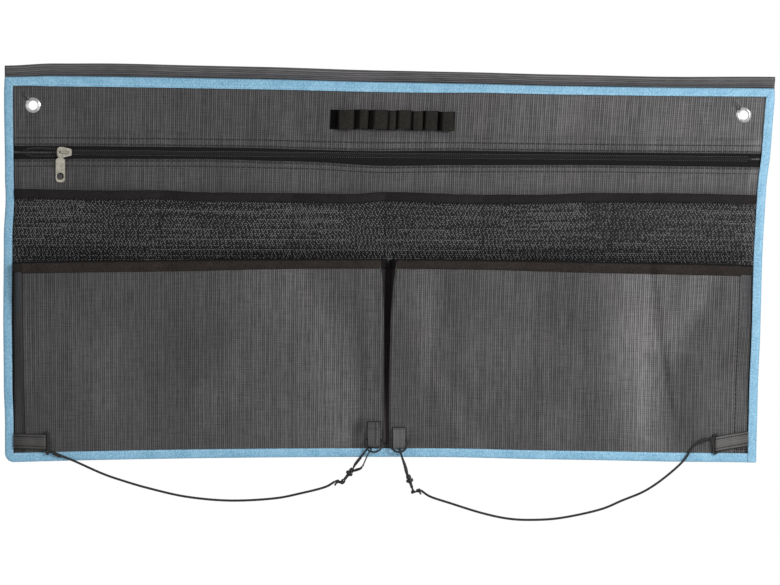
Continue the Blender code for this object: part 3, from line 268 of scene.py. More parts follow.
def ease(value, start, end):
    """0 at start, 1 at end, smooth between."""
    share = min(max((value - start) / (end - start), 0.0), 1.0)
    return share * share * (3 - 2 * share)


def along(place, pairs):
    """Smooth value between (place, value) pairs, which run one way."""
    up = pairs[-1][0] > pairs[0][0]
    for (a, va), (b, vb) in zip(pairs, pairs[1:]):
        if (place <= b) if up else (place >= b):
            return va + (vb - va) * ease(place, a, b)
    return pairs[-1][1]


def hang(u, y, w):
    """World point of a spot on the flat pattern."""
    down = min(max(w / PANEL_BOTTOM, 0.0), 1.0)
    side = u / HALF_WIDTH
    leaning = LEAN * (u / PANEL_WIDTH + 0.5) * (1 - (1 - down) ** 2)
    dropping = BOW * (max(down - BOW_START, 0.0) / (1 - BOW_START)) ** 2 * side ** 2
    lift = along(u, TOP_WAVE) * max(1 - down / TOP_WAVE_END, 0.0)
    lift += along(u, BOTTOM_WAVE) * ease(down, *BOTTOM_WAVE_SPAN)
    shift = along(w, LEFT_WAVE) * ease(-u, *SIDE_WAVE_SPAN)
    shift += along(w, RIGHT_WAVE) * ease(u, *SIDE_WAVE_SPAN)
    return Vector((u - leaning + shift, y, w + lift - TILT * side * (1 - down) ** 2 - dropping))


def pulled_corner(u, w):
    """Move a spot in the rounded bottom left corner onto the arc."""
    centre_u = ROUND_CORNER_RADIUS - HALF_WIDTH
    centre_w = PANEL_BOTTOM + ROUND_CORNER_RADIUS
    if u >= centre_u or w >= centre_w:
        return u, w
    reach = math.hypot(u - centre_u, w - centre_w)
    share = max(centre_u - u, centre_w - w) / reach
    return centre_u + (u - centre_u) * share, centre_w + (w - centre_w) * share


def side_rise(u):
    """0 at the side bindings and 1 past the taper beside them."""
    return min(max((BINDING_INNER - abs(u)) / SIDE_TAPER, 0.0), 1.0)


def header_depth(u, w):
    """Middle of the sheet above the zip."""
    rise = side_rise(u) * ease(-w, -HEADER_SLOPE_TOP, -HEADER_SLOPE_BOTTOM)
    return FRONT_PANEL + (ZIP_PANEL - FRONT_PANEL) * rise


def lower_depth(u, w):
    """Middle of the sheet below the zip, which stands off to make the zip pocket."""
    deep = ease(-w, -ZIP_SEAM_BOTTOM, -ZIP_POCKET_DEEP_TOP)
    closing = ease(-w, -ZIP_POCKET_DEEP_BOTTOM, -NET_BOTTOM)
    full = ZIP_PANEL + (POCKET_PANEL - ZIP_PANEL) * deep
    full += (FRONT_PANEL - full) * closing
    return FRONT_PANEL + (full - FRONT_PANEL) * side_rise(u)


def net_depth(u, w):
    """Middle of the net, which bulges between its seams and meets the sheet at them."""
    edges = (-BINDING_INNER, *NET_DIVIDERS, BINDING_INNER)
    bulge = 0.0
    for left, right in zip(edges, edges[1:]):
        if left < u < right:
            bulge = math.sin(math.pi * (u - left) / (right - left))
    fullness = ease(w, NET_BOTTOM + 0.002, NET_BOTTOM + 0.032)
    stand = CLOTH / 2 + GAP + NET_THREAD / 2 + LAYER * fullness + GAP
    return lower_depth(u, w) - stand - NET_BULGE * bulge * fullness


def mouth_height(u):
    """Height of the lower pockets' mouth, which droops towards the sides."""
    return POCKET_MOUTH - POCKET_DROOP * (abs(u) / HALF_WIDTH) ** 1.5


def pocket_share(u, w):
    """How far down a lower pocket a spot is, 0 at the mouth and 1 at the bottom."""
    top = mouth_height(u)
    return min(max((top - w) / (top - POCKET_SEAM), 0.0), 1.0)


def pocket_depth(u, w):
    """Middle of a lower pocket's front, as in the part."""
    share = pocket_share(u, w)
    fold = POCKET_FOLD * math.sin(4 * math.pi * share) * math.sin(9 * u) * (1 - share)
    return POCKET_EDGE - POCKET_STAND * (1 - share) ** POCKET_TAPER - fold


def centre_gap(u, w):
    """Half the gap between the two lower pockets."""
    wider = CENTRE_GAP_MOUTH - CENTRE_GAP_LOW
    return CENTRE_GAP_LOW + wider * (1 - pocket_share(u, w)) ** 5


# Creases of the lower pockets: top and bottom (u, w), width left and right, depth
CREASES = (
    ((0.350, -0.236), (0.393, -0.492), 0.052, 0.006, 0.0090),
    ((0.445, -0.240), (0.400, -0.360), 0.040, 0.016, 0.0050),
    ((0.215, -0.248), (0.165, -0.480), 0.060, 0.022, 0.0036),
    ((0.060, -0.250), (0.075, -0.470), 0.040, 0.030, 0.0042),
    ((-0.035, -0.290), (-0.030, -0.485), 0.065, 0.010, 0.0060),
    ((-0.100, -0.236), (-0.150, -0.430), 0.050, 0.022, 0.0040),
    ((-0.270, -0.240), (-0.310, -0.490), 0.060, 0.030, 0.0036),
)


def crease(u, w, top, bottom, left, right, height):
    """Depth of one soft crease: slow on its left, with a low bulge, and quick on its right."""
    share = (w - top[1]) / (bottom[1] - top[1])
    if not 0 < share < 1:
        return 0.0
    across = u - (top[0] + (bottom[0] - top[0]) * share)
    form = math.exp(-(across / (left if across < 0 else right)) ** 2)
    form -= 0.45 * math.exp(-((across + 1.5 * left) / (0.7 * left)) ** 2)
    return height * form * math.sin(math.pi * share) ** 0.5


def drape(u, w):
    """How far the cloth of a lower pocket billows out of its plain shape."""
    low = ease(w, POCKET_SEAM, POCKET_SEAM + 0.02)
    inner = ease(abs(u - CENTRE_SEAM), 0.012, 0.040)
    outer = ease(BINDING_INNER - abs(u), 0.018, 0.050)
    wide = rough((u * 9, w * 5, 2.7), 0.0030) + rough((u * 26, w * 13, 8.1), 0.0008)
    out = wide + 0.0012 - sum(crease(u, w, *one) for one in CREASES)
    room = 0.8 * POCKET_STAND * (1 - pocket_share(u, w)) ** POCKET_TAPER + 0.0012
    return low * inner * outer * max(out, -room)


# Painted light: bands of painted sheen over folds, painted shade in them and painted shadows
# beside the centre tabs: run as (w, u), half widths to the left and the right, and how much lighter or
# darker
POCKET_PAINTED_BANDS = (
    (((-0.240, 0.348), (-0.330, 0.346), (-0.400, 0.350), (-0.500, 0.356)), 0.034, 0.026, 0.95),
    (((-0.240, 0.440), (-0.290, 0.416), (-0.360, 0.378)), 0.030, 0.022, 0.55),
    (((-0.240, 0.384), (-0.330, 0.392), (-0.400, 0.400), (-0.480, 0.404)), 0.004, 0.022, -0.22),
    (((-0.240, 0.056), (-0.380, 0.060), (-0.430, 0.096), (-0.490, 0.124)), 0.014, 0.018, 0.42),
    (((-0.420, 0.235), (-0.495, 0.230)), 0.022, 0.022, 0.20),
    (((-0.240, -0.132), (-0.300, -0.088), (-0.345, -0.060), (-0.495, -0.046)), 0.044, 0.022, 0.52),
    (((-0.240, -0.100), (-0.500, -0.110)), 0.120, 0.070, 0.22),
    (((-0.400, -0.235), (-0.500, -0.228)), 0.020, 0.020, 0.24),
    (((-0.330, -0.360), (-0.440, -0.372)), 0.024, 0.024, 0.12),
    # Painted shadows beside the centre tabs
    (((-0.446, -0.0295), (-0.494, -0.0310)), 0.0075, 0.006, -0.92),
    (((-0.444, -0.0225), (-0.458, -0.0225)), 0.010, 0.008, -0.60),
    (((-0.452, 0.0050), (-0.494, 0.0030)), 0.003, 0.004, -0.70),
)
# Painted light patches on the sheets above and below the zip
HEADER_PAINTED_BANDS = (
    (((0.03, 0.300), (-0.085, 0.330)), 0.150, 0.120, 0.30),
    (((-0.125, 0.080), (-0.150, 0.100)), 0.060, 0.090, 0.10),
)


def painted_light_at(u, w, painted_bands):
    """Sum of the bands' painted light and shade at a spot of the flat pattern, with painted light
    growing to the right.
    """
    total = 0.30 * u - 0.04
    for run, left, right, gain in painted_bands:
        across = u - along(w, run)
        fade = ease(-w, -run[0][0] - 0.004, -run[0][0] + 0.016)
        fade *= 1 - ease(-w, -run[-1][0] - 0.016, -run[-1][0] + 0.016)
        total += gain * fade * math.exp(-(across / (left if across < 0 else right)) ** 2)
    return total


def front_depth(u, w):
    """Middle of a lower pocket's front, draped."""
    return pocket_depth(u, w) - drape(u, w)


def ripple(u, w):
    """Small waves of the upper sheets, none at the seams."""
    edge = ease(BINDING_INNER - abs(u), 0.002, 0.03)
    wave = rough((u * 14, w * 10, 5.5), 0.0009) + rough((u * 40, w * 22, 1.5), 0.0003)
    return edge * (wave + 0.0005)


# Mesh helpers. A grid is rows of (world point, flat spot) pairs.

def measured(path):
    """The spots of a path, each after the way run to it."""
    far, spots = 0.0, [(0.0, path[0])]
    for before, spot in zip(path, path[1:]):
        far += math.dist(before, spot)
        spots.append((far, spot))
    return spots


def turns(start, end, step):
    """Angles in radians from start to end, given in whole degrees."""
    return [math.radians(angle) for angle in range(start, end + (1 if step > 0 else -1), step)]


def length_of(chain):
    """Length of a chain of points."""
    return sum((b - a).length for a, b in zip(chain, chain[1:]))


def woven_mesh(name, points, faces, flat, painted_light=None):
    """A mesh with one UV per point and, where given, the painted light or shade of its cloth there."""
    mesh = bpy.data.meshes.new(name)
    mesh.from_pydata([tuple(point) for point in points], [], faces)
    index = np.zeros(len(mesh.loops), np.int32)
    mesh.loops.foreach_get("vertex_index", index)
    layer = mesh.uv_layers.new(name="flat")
    layer.data.foreach_set("uv", np.array(flat, np.float32)[index].ravel())
    if painted_light:
        # Painted light and shade, kept on the mesh for its material
        shade = mesh.attributes.new("painted_light_gain", "FLOAT", "POINT")
        shade.data.foreach_set("value", [painted_light(*spot) for spot in flat])
    mesh.shade_smooth()
    return mesh


def grid_mesh(name, grid, skip=None, painted_light=None):
    """A mesh through a grid, with its flat coordinates in metres as UVs."""
    columns = len(grid[0])
    pairs = [pair for row in grid for pair in row]
    faces = []
    for row in range(len(grid) - 1):
        for a in range(row * columns, (row + 1) * columns - 1):
            if not (skip and skip(*pairs[a][1], *pairs[a + columns + 1][1])):
                faces.append((a, a + 1, a + columns + 1, a + columns))
    used = sorted({i for face in faces for i in face})
    place = {old: new for new, old in enumerate(used)}
    return woven_mesh(
        name, [pairs[i][0] for i in used], [tuple(place[i] for i in face) for face in faces],
        [pairs[i][1] for i in used], painted_light,
    )


def piece(name, mesh, finish, body, slot, *nodes):
    """Link a mesh as a piece that rides on a body and stands for CAD nodes."""
    mesh.name = name
    mesh.materials.clear()
    mesh.materials.append(finish)
    made = bpy.data.objects.new(name, mesh)
    scene.collection.objects.link(made)
    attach(made, body)
    if nodes:
        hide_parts(*nodes)
    return made


def cloth(
    name, grid, finish, slot, node,
    thickness=CLOTH, skip=None, painted_light=None,
):
    """A sheet of cloth with its thickness."""
    mesh = grid_mesh(name, grid, skip, painted_light)
    made = piece(name, mesh, finish, "panel", slot, *([node] if node else []))
    solid = made.modifiers.new("thickness", "SOLIDIFY")
    solid.thickness = thickness
    solid.offset = 0


def unit(vectors):
    """Rows of vectors at length one."""
    return vectors / (np.linalg.norm(vectors, axis=2, keepdims=True) + 1e-12)


def tube_arrays(chains, radius, sides, ref, closed=False, taper=1.0):
    """Points, faces and UVs of round tubes; chains is (count, points, 3)."""
    chains = np.asarray(chains, float)
    count, length = chains.shape[:2]
    if closed:
        tangent = unit(np.roll(chains, -1, 1) - np.roll(chains, 1, 1))
    else:
        tangent = unit(np.gradient(chains, axis=1))
    side = unit(np.cross(tangent, np.broadcast_to(np.asarray(ref, float), chains.shape)))
    up = np.cross(side, tangent)
    angles = np.arange(sides) * math.tau / sides
    ring = side[:, :, None] * np.cos(angles)[:, None] + up[:, :, None] * np.sin(angles)[:, None]
    scale = np.zeros(length) + radius
    scale[[0, -1]] *= taper
    points = chains[:, :, None] + ring * scale[None, :, None, None]
    runs = np.linalg.norm(np.diff(chains, axis=1), axis=2)
    far = np.concatenate([np.zeros((count, 1)), np.cumsum(runs, axis=1)], axis=1)
    uv = np.zeros((count, length, sides, 2))
    uv[..., 0] = np.minimum(angles, math.tau - angles) / math.pi
    uv[..., 1] = far[:, :, None]
    steps = np.arange(length if closed else length - 1)
    base = (np.arange(count) * length * sides)[:, None, None]
    here = steps[None, :, None] * sides + base
    there = ((steps + 1) % length)[None, :, None] * sides + base
    turn = np.arange(sides)[None, None]
    beside = (turn + 1) % sides
    faces = np.stack([here + turn, there + turn, there + beside, here + beside], axis=-1)
    faces = faces.reshape(-1, 4).tolist()
    if not closed:
        for start in base.ravel().tolist():
            end = start + (length - 1) * sides
            faces.append(tuple(range(start, start + sides)))
            faces.append(tuple(range(end + sides - 1, end - 1, -1)))
    return points.reshape(-1, 3), faces, uv.reshape(-1, 2)


def tubes_mesh(chains, radius, sides, ref=(0, -1, 0), **how):
    """One mesh of round tubes."""
    points, faces, uv = tube_arrays(chains, radius, sides, ref, **how)
    return woven_mesh("tubes", points.tolist(), faces, uv)


def rod(chain, *form, **how):
    """A mesh of one round tube."""
    return tubes_mesh([chain], *form, **how)


def joined(meshes, place=None):
    """One mesh made of several, moved to its place where one is given."""
    form = bmesh.new()
    for mesh in meshes:
        form.from_mesh(mesh)
    made = bpy.data.meshes.new("joined")
    form.to_mesh(made)
    form.free()
    made.shade_smooth()
    if place:
        made.transform(place)
    return made


def turned_mesh(profile, steps, closed=True):
    """A form turned round +Z from a profile of radius and height."""
    grid = []
    for far, (radius, height) in measured(profile + profile[:1] if closed else profile):
        shares = [(math.tau * k / steps, k / steps) for k in range(steps + 1)]
        grid.append([
            ((radius * math.cos(a), radius * math.sin(a), height), (share, far))
            for a, share in shares
        ])
    mesh = grid_mesh("turned", grid)
    form = bmesh.new()
    form.from_mesh(mesh)
    bmesh.ops.remove_doubles(form, verts=form.verts, dist=0.000001)
    bmesh.ops.recalc_face_normals(form, faces=form.faces)
    form.to_mesh(mesh)
    form.free()
    mesh.set_sharp_from_angle(angle=math.radians(40))
    return mesh


def smooth_curve(points, step):
    """Even points on a smooth curve through the given points."""
    chain = [Vector(point) for point in points]
    chain = [2 * chain[0] - chain[1], *chain, 2 * chain[-1] - chain[-2]]
    fine = []
    for before, start, end, after in zip(chain, chain[1:], chain[2:], chain[3:]):
        for part in range(24):
            t = part / 24
            fine.append(0.5 * (
                2 * start + (end - before) * t
                + (2 * before - 5 * start + 4 * end - after) * t ** 2
                + (3 * start - before - 3 * end + after) * t ** 3
            ))
    fine.append(Vector(points[-1]))
    length = length_of(fine)
    count = max(2, round(length / step))
    spots, travelled = [fine[0]], 0.0
    for a, b in zip(fine, fine[1:]):
        run = (b - a).length
        while len(spots) < count and travelled + run >= length * len(spots) / count:
            spots.append(a.lerp(b, (length * len(spots) / count - travelled) / run))
        travelled += run
    return [*spots, fine[-1]]


# Shape of one stitch: share of its length and height over the cloth, as a share of its rise
STITCH_ARC = ((0.25, 0.8), (0.5, 1.0), (0.75, 0.8))
STITCH_SUNK = -0.0002


def stitch_chains(line, depth, pitch, share=0.6, rise=0.00028):
    """Short thread arcs along a line of (u, w) spots, standing on a sheet's face."""
    spots = [Vector(spot) for spot in line]
    lifts = [(0.0, STITCH_SUNK), *((k, rise * tall) for k, tall in STITCH_ARC), (1.0, STITCH_SUNK)]
    chains = []
    travelled, wanted = 0.0, pitch * 0.3
    for a, b in zip(spots, spots[1:]):
        run = (b - a).length
        while run > 0 and wanted + pitch * share <= travelled + run:
            arc = []
            for k, lift in lifts:
                u, w = a.lerp(b, (wanted + pitch * share * k - travelled) / run)
                arc.append(tuple(hang(u, depth(u, w) - CLOTH / 2 - lift, w)))
            chains.append(arc)
            wanted += pitch
        travelled += run
    return chains


def stitches(name, chains, finish, slot, thread=0.00021, ref=(0, -1, 0)):
    """A piece of sewn thread."""
    piece(name, tubes_mesh(chains, thread, 5, ref, taper=0.5), finish, "panel", slot)


# Materials

def put(tree, kind, *values, out=0, **settings):
    """Output of a shader node with its inputs in order: a socket is linked, a value is set."""
    made = tree.nodes.new("ShaderNode" + kind)
    for key, value in settings.items():
        setattr(made, key, value)
    for slot, value in zip(made.inputs, values):
        if isinstance(value, bpy.types.NodeSocket):
            tree.links.new(value, slot)
        elif value is not None:
            slot.default_value = (*value, 1.0) if hasattr(value, "__len__") else value
    return made.outputs[out]


class Finish:
    """A material in the making, with its fixed numbers on its own shader."""

    def __init__(self, name, roughness, specular=0.5, metallic=0.0, solid=False):
        self.material = bpy.data.materials.new(name)
        self.material.use_nodes = True
        self.tree = self.material.node_tree
        self.shader = self.tree.nodes["Principled BSDF"]
        self.shader.inputs["Roughness"].default_value = roughness
        self.shader.inputs["Specular IOR Level"].default_value = specular
        self.shader.inputs["Metallic"].default_value = metallic
        if solid:
            self.where = self.put("TexCoord", out="Object")
        else:
            self.where = self.put("UVMap", uv_map="flat")
        parts = self.tree.nodes.new("ShaderNodeSeparateXYZ")
        self.tree.links.new(self.where, parts.inputs[0])
        self.u, self.w, self.up = parts.outputs

    def put(self, kind, *values, **settings):
        """Output of a node of this material."""
        return put(self.tree, kind, *values, **settings)

    def maths(self, operation, *values, clamp=False):
        """Output of one step of arithmetic."""
        return self.put("Math", *values, operation=operation, use_clamp=clamp)

    def total(self, *terms):
        """Sum of (value, weight) terms."""
        line = 0.0
        for value, weight in terms:
            line = self.maths("MULTIPLY_ADD", value, weight, line)
        return line

    def ranged(self, value, low, high, out_low=0.0, out_high=1.0):
        """Value taken from one range to another, smoothly and within it."""
        return self.put(
            "MapRange", value, low, high, out_low, out_high, interpolation_type="SMOOTHSTEP",
        )

    def blended(self, factor, a, b, way="MIX"):
        """Mix of two colours."""
        unused = [None] * 5
        return self.put("Mix", factor, *unused, a, b, out=2, data_type="RGBA", blend_type=way)

    def speckle(self, where, scale, detail=2.0, roughness=0.6):
        """Noise from 0 to 1."""
        return self.put("TexNoise", where, None, scale, detail, roughness)

    def stretched(self, u_share, w_share):
        """The flat coordinates, each scaled."""
        u, w = self.maths("MULTIPLY", self.u, u_share), self.maths("MULTIPLY", self.w, w_share)
        return self.put("CombineXYZ", u, w)

    def wave(self, value, pitch, phase=0.0):
        """A sine of a coordinate, from 0 to 1."""
        turn = self.maths("MULTIPLY_ADD", value, math.tau / pitch, phase)
        return self.maths("MULTIPLY_ADD", self.maths("SINE", turn), 0.5, 0.5)

    def near(self, value, level, inside, outside, strength):
        """Strength near a level of a coordinate, and 0 away from it."""
        off = self.maths("ABSOLUTE", self.maths("SUBTRACT", value, level))
        return self.ranged(off, inside, outside, strength, 0.0)

    def shaded(self, colour, share):
        """A colour made lighter or darker."""
        return self.put("HueSaturation", 0.5, 1.0, share, 1.0, colour)

    def painted_light_gain(self):
        """1, and more or less where the mesh carries painted light or painted shade."""
        return self.maths("ADD", self.put("Attribute", out="Fac", attribute_name="painted_light_gain"), 1.0)

    def dress(self, colour, rough, height, strength, distance):
        """Link colour, roughness and bump to the shader. Rough is (value, low, high)."""
        link = self.tree.links.new
        link(colour, self.shader.inputs["Base Color"])
        if rough:
            value, low, high = rough
            link(self.ranged(value, 0.3, 0.7, low, high), self.shader.inputs["Roughness"])
        bump = self.tree.nodes.new("ShaderNodeBump")
        bump.inputs["Strength"].default_value = strength
        bump.inputs["Distance"].default_value = distance
        link(height, bump.inputs["Height"])
        link(bump.outputs[0], self.shader.inputs["Normal"])
        return self.material


# Colour of dark marks: seam lines, partly painted shade of the seams' puckers, and painted shadow
# lines along the tabs' edges
SEAM_AND_SHADE_MARK = (0.006, 0.006, 0.006)
# Painted shadow line along a hem tape's fold
FOLD_SHADOW = (0.0015, 0.0014, 0.0014)
WARM_TINT = (1.05, 0.985, 1.0)
RIB_PITCH = 0.00272


def ribbed_fabric(name, dark, light, marks=(), streak=1.0, gloss=0.26):
    """Coated woven polyester: upright pinstripes, fine cross threads, soft patches."""
    one = Finish(name, 0.46, gloss)
    u, w = one.u, one.w
    upright, level = one.stretched(1.0, 0.07), one.stretched(0.05, 1.0)
    fine = one.speckle(one.where, 1300.0)
    sway = one.maths("MULTIPLY_ADD", one.speckle(one.where, 4.0, 1.0, 0.55), 0.004, u)
    threads = one.wave(w, 0.0027, 0.4)
    line = one.total(
        (one.speckle(upright, 560.0), 0.60), (one.wave(sway, RIB_PITCH), 0.40),
        (one.wave(sway, 2 * RIB_PITCH, 0.6), 0.14), (one.speckle(upright, 90.0), 0.36),
        (one.speckle(level, 700.0), 0.42 * streak), (fine, 0.50), (threads, 0.06),
    )
    middle = 1.07 + 0.21 * streak
    colour = one.blended(one.ranged(line, middle - 0.38, middle + 0.38), dark, light)
    cloud = one.ranged(one.speckle(one.where, 7.0, 3.0, 0.5), 0.3, 0.7, 0.86, 1.14)
    # Soft patches, times the mesh's painted light and shade
    colour = one.shaded(colour, one.maths("MULTIPLY", cloud, one.painted_light_gain()))
    warm = one.ranged(one.speckle(one.where, 11.0, 2.0, 0.5), 0.45, 0.75, 0.0, 0.5)
    colour = one.blended(warm, colour, one.blended(1.0, colour, WARM_TINT, "MULTIPLY"))
    # Dark seam dashes, partly painted shade, and unbroken painted shadow lines at the tabs' edges
    for way, place, pitch in marks:
        value, run = (u, w) if way == "u" else (w, u)
        dash = one.ranged(one.wave(run, pitch), 0.12, 0.40, 0.30, 1.0)
        mark = one.maths("MULTIPLY", one.near(value, place, 0.0006, 0.0012, 0.92), dash)
        colour = one.blended(mark, colour, SEAM_AND_SHADE_MARK)
    height = one.total((threads, 0.2), (line, 0.7))
    return one.dress(colour, (fine, 0.40, 0.54), height, 0.25, 0.0004)


def ribbed_tape(name, dark, light, pitch, roughness=0.7, across=False, gloss=0.1, fold=None):
    """Woven tape with fine ribs over its width, with a painted shadow line along its fold where one is
    given.
    """
    one = Finish(name, roughness, gloss)
    length, width = (one.w, one.u) if across else (one.u, one.w)
    fine = one.speckle(one.where, 1400.0, 3.0)
    line = one.total(
        (one.wave(width, pitch * 0.8, 1.1), 0.18), (one.wave(length, pitch), 0.30), (fine, 0.5),
        (one.speckle(one.where, 45.0, 4.0, 0.65), 0.45),
        (one.speckle(one.where, 420.0, 2.0, 0.7), 0.9),
    )
    colour = one.blended(one.ranged(line, 0.86, 1.46), dark, light)
    if fold:
        colour = one.blended(one.near(one.u, fold, 0.0022, 0.0030, 0.9), colour, FOLD_SHADOW)
    # The mesh's painted light and shade
    colour = one.shaded(colour, one.painted_light_gain())
    return one.dress(colour, (fine, roughness - 0.1, roughness + 0.1), line, 0.45, 0.0003)


def twill(name, dark, light, pitch=0.0012):
    """Black herringbone tape."""
    one = Finish(name, 0.8, 0.08)
    column = one.maths("PINGPONG", one.maths("MULTIPLY", one.w, 1 / 0.005), 0.5)
    slant = one.maths("MULTIPLY_ADD", column, 0.006, one.u)
    fine = one.speckle(one.where, 1600.0, 3.0)
    line = one.total((fine, 0.5), (one.wave(slant, pitch), 0.5))
    colour = one.blended(one.ranged(line, 0.25, 0.8), dark, light)
    return one.dress(colour, (fine, 0.7, 0.9), line, 0.4, 0.0003)


def braid(name, dark, light, pitch=0.0042, strands=6):
    """Round cord braided from fine yarns."""
    one = Finish(name, 0.55, 0.22)
    turn = one.maths("MULTIPLY", one.u, math.pi * strands / 2)
    way = one.maths("MULTIPLY", one.w, math.tau / pitch)
    yarns = [one.maths("SINE", one.maths(kind, turn, way)) for kind in ("ADD", "SUBTRACT")]
    fine = one.speckle(one.where, 900.0, 3.0)
    line = one.maths("MULTIPLY_ADD", one.maths("MAXIMUM", *yarns), 0.4, fine)
    colour = one.blended(one.ranged(line, 0.2, 1.0), dark, light)
    return one.dress(colour, (fine, 0.5, 0.75), line, 0.6, 0.0003)


def thread_finish(name, dark, light):
    """Twisted sewing thread."""
    one = Finish(name, 0.5, 0.22)
    ply = one.wave(one.maths("MULTIPLY_ADD", one.u, 0.0004, one.w), 0.0006)
    fine = one.speckle(one.where, 700.0, 2.0, 0.5)
    line = one.maths("MULTIPLY_ADD", ply, 0.6, fine)
    colour = one.blended(one.ranged(line, 0.4, 1.2), dark, light)
    return one.dress(colour, (fine, 0.45, 0.65), line, 0.4, 0.0001)


def metal(name, dark, light, roughness, metallic=1.0, specular=0.5):
    """Cast or painted metal, with cloudy tarnish, fine scratches and edges rubbed lighter."""
    one = Finish(name, roughness, specular, metallic, solid=True)
    cloud = one.speckle(one.where, 220.0, 2.0, 0.5)
    pulled = one.put(
        "CombineXYZ", one.maths("MULTIPLY", one.u, 9.0), one.w, one.maths("MULTIPLY", one.up, 0.6),
    )
    drawn = one.speckle(pulled, 700.0)
    bend = one.put("NewGeometry", out="Pointiness")
    tone = one.ranged(one.total((drawn, 0.55), (cloud, 0.45)), 0.25, 0.75)
    edge = one.ranged(bend, 0.50, 0.58)
    tone = one.maths("MULTIPLY_ADD", edge, 0.3, tone, clamp=True)
    crevice = one.ranged(bend, 0.40, 0.49, 0.8, 0.0)
    colour = one.blended(tone, dark, light)
    colour = one.blended(crevice, colour, [part * 0.3 for part in dark])
    height = one.total((one.speckle(one.where, 2600.0, 3.0), 0.3), (drawn, 0.35))
    return one.dress(colour, (drawn, roughness - 0.08, roughness + 0.12), height, 0.25, 0.0002)


def whole_seams(way, pitch, *levels):
    """Marks of stitched seams at levels of one flat coordinate."""
    return tuple((way, level, pitch) for level in levels)


# A pitch of a metre draws a seam or cut edge unbroken, as along the tabs' edges, where it is a painted
# shadow line
UNBROKEN = 1.0
# The two seams of the sheet above the zip, up from its edge
HEADER_SEAM_UPS = (0.0026, 0.0106)
# Dark dashes along the seams above and below the zip, partly painted shade of their puckers
HEADER_SEAMS = whole_seams(
    "w", 0.0070, *(HEADER_BOTTOM + up for up in HEADER_SEAM_UPS), LOWER_PANEL_TOP - 0.0024,
    LOWER_PANEL_TOP - 0.0086,
)
POCKET_SEAMS = (
    ("u", BINDING_INNER - OUTER_GUSSET_RIGHT - 0.0016, 0.006),
    ("u", OUTER_GUSSET_LEFT - BINDING_INNER + 0.0018, 0.0042),
)
# Dashed stitch lines, and unbroken painted shadow lines along the tabs' edges
TAB_SEAM_MARKS = (
    *whole_seams("u", 0.003, -CORNER_TAB_SEAM, CORNER_TAB_SEAM),
    *whole_seams("u", UNBROKEN, -CORNER_TAB_HEIGHT / 2, CORNER_TAB_HEIGHT / 2),
    ("w", 0.0, UNBROKEN),
)
RING_TAB_MARKS = (
    *whole_seams("u", UNBROKEN, -CENTRE_TAB_WIDTH / 2, CENTRE_TAB_WIDTH / 2), ("w", 0.0, UNBROKEN),
)
GREY = ribbed_fabric("ribbed_grey", (0.007, 0.0067, 0.007), (0.091, 0.088, 0.090), HEADER_SEAMS)
GREY_BACK = ribbed_fabric("ribbed_grey_back", (0.007, 0.0067, 0.007), (0.091, 0.088, 0.090))
GREY_POCKET = ribbed_fabric(
    "ribbed_grey_pocket", (0.011, 0.0105, 0.011), (0.085, 0.083, 0.084), POCKET_SEAMS,
)
GREY_TAB = ribbed_fabric(
    "ribbed_grey_tab", (0.046, 0.044, 0.043), (0.092, 0.088, 0.086), TAB_SEAM_MARKS, gloss=0.2,
)
GREY_RING_TAB = ribbed_fabric(
    "ribbed_grey_ring_tab", (0.046, 0.045, 0.046), (0.092, 0.089, 0.090), RING_TAB_MARKS, gloss=0.2,
)
GREY_STRIP = ribbed_fabric(
    "ribbed_grey_strip", (0.024, 0.023, 0.024), (0.116, 0.112, 0.115), streak=0.3,
)
# Painted shade: a darker copy of the pockets' grey for the left outer side, which faces away from the
# key lamp
SHADED_POCKET_GREY = ribbed_fabric("shaded_pocket_grey", (0.010, 0.010, 0.010), (0.040, 0.038, 0.038))
BLACK_CLOTH = ribbed_fabric("black_cloth", (0.016, 0.014, 0.0145), (0.046, 0.040, 0.041), gloss=0.1)
BLUE = ribbed_tape(
    "binding_blue", (0.050, 0.185, 0.300), (0.265, 0.470, 0.615), 0.0011, 0.55, gloss=0.5,
)
NET_TAPE = ribbed_tape("net_tape", (0.0015, 0.0012, 0.0013), (0.0150, 0.0128, 0.0132), 0.0011)
HEM_TAPE = ribbed_tape(
    "hem_tape", (0.0030, 0.0022, 0.0019), (0.030, 0.0234, 0.0200), 0.0011,
    # Where the painted shadow line along the fold runs
    fold=POCKET_HEM_WIDTH + 0.0014,
)
ELASTIC_BLACK = ribbed_tape(
    "elastic_black", (0.006, 0.0055, 0.005), (0.026, 0.0235, 0.0205), 0.0013, across=True,
    gloss=0.04,
)
ZIP_TAPE = twill("zip_tape_black", (0.003, 0.003, 0.003), (0.011, 0.0105, 0.011))
CORD_BLACK = braid("cord_black", (0.004, 0.004, 0.004), (0.020, 0.020, 0.020))
NET_BLACK = thread_finish("net_black", (0.003, 0.003, 0.003), (0.010, 0.0097, 0.010))
# Painted highlight: a lighter copy of the net thread for the glinting threads
NET_PAINTED_GLINT = thread_finish("net_painted_glint", (0.090, 0.088, 0.090), (0.275, 0.270, 0.275))
THREAD_BLACK = thread_finish("thread_black", (0.003, 0.003, 0.003), (0.012, 0.012, 0.012))
THREAD_BLUE = thread_finish("thread_blue", (0.42, 0.62, 0.76), (0.74, 0.86, 0.94))
THREAD_GREY = thread_finish("thread_grey", (0.085, 0.085, 0.087), (0.290, 0.286, 0.290))
COIL_NYLON = thread_finish("coil_nylon", (0.005, 0.005, 0.0055), (0.030, 0.030, 0.031))
BEAD_FINISH = thread_finish("bead_cord", (0.10, 0.10, 0.10), (0.25, 0.25, 0.24))
NICKEL = metal("antique_nickel", (0.150, 0.140, 0.118), (0.36, 0.343, 0.292), 0.27)
STEEL = metal("eyelet_steel", (0.10, 0.10, 0.098), (0.44, 0.44, 0.435), 0.24)
BLACK_METAL = metal(
    "black_metal", (0.0035, 0.0035, 0.004), (0.012, 0.012, 0.013), 0.42, metallic=0.0,
    specular=0.22,
)


# Cords, knots and hooks

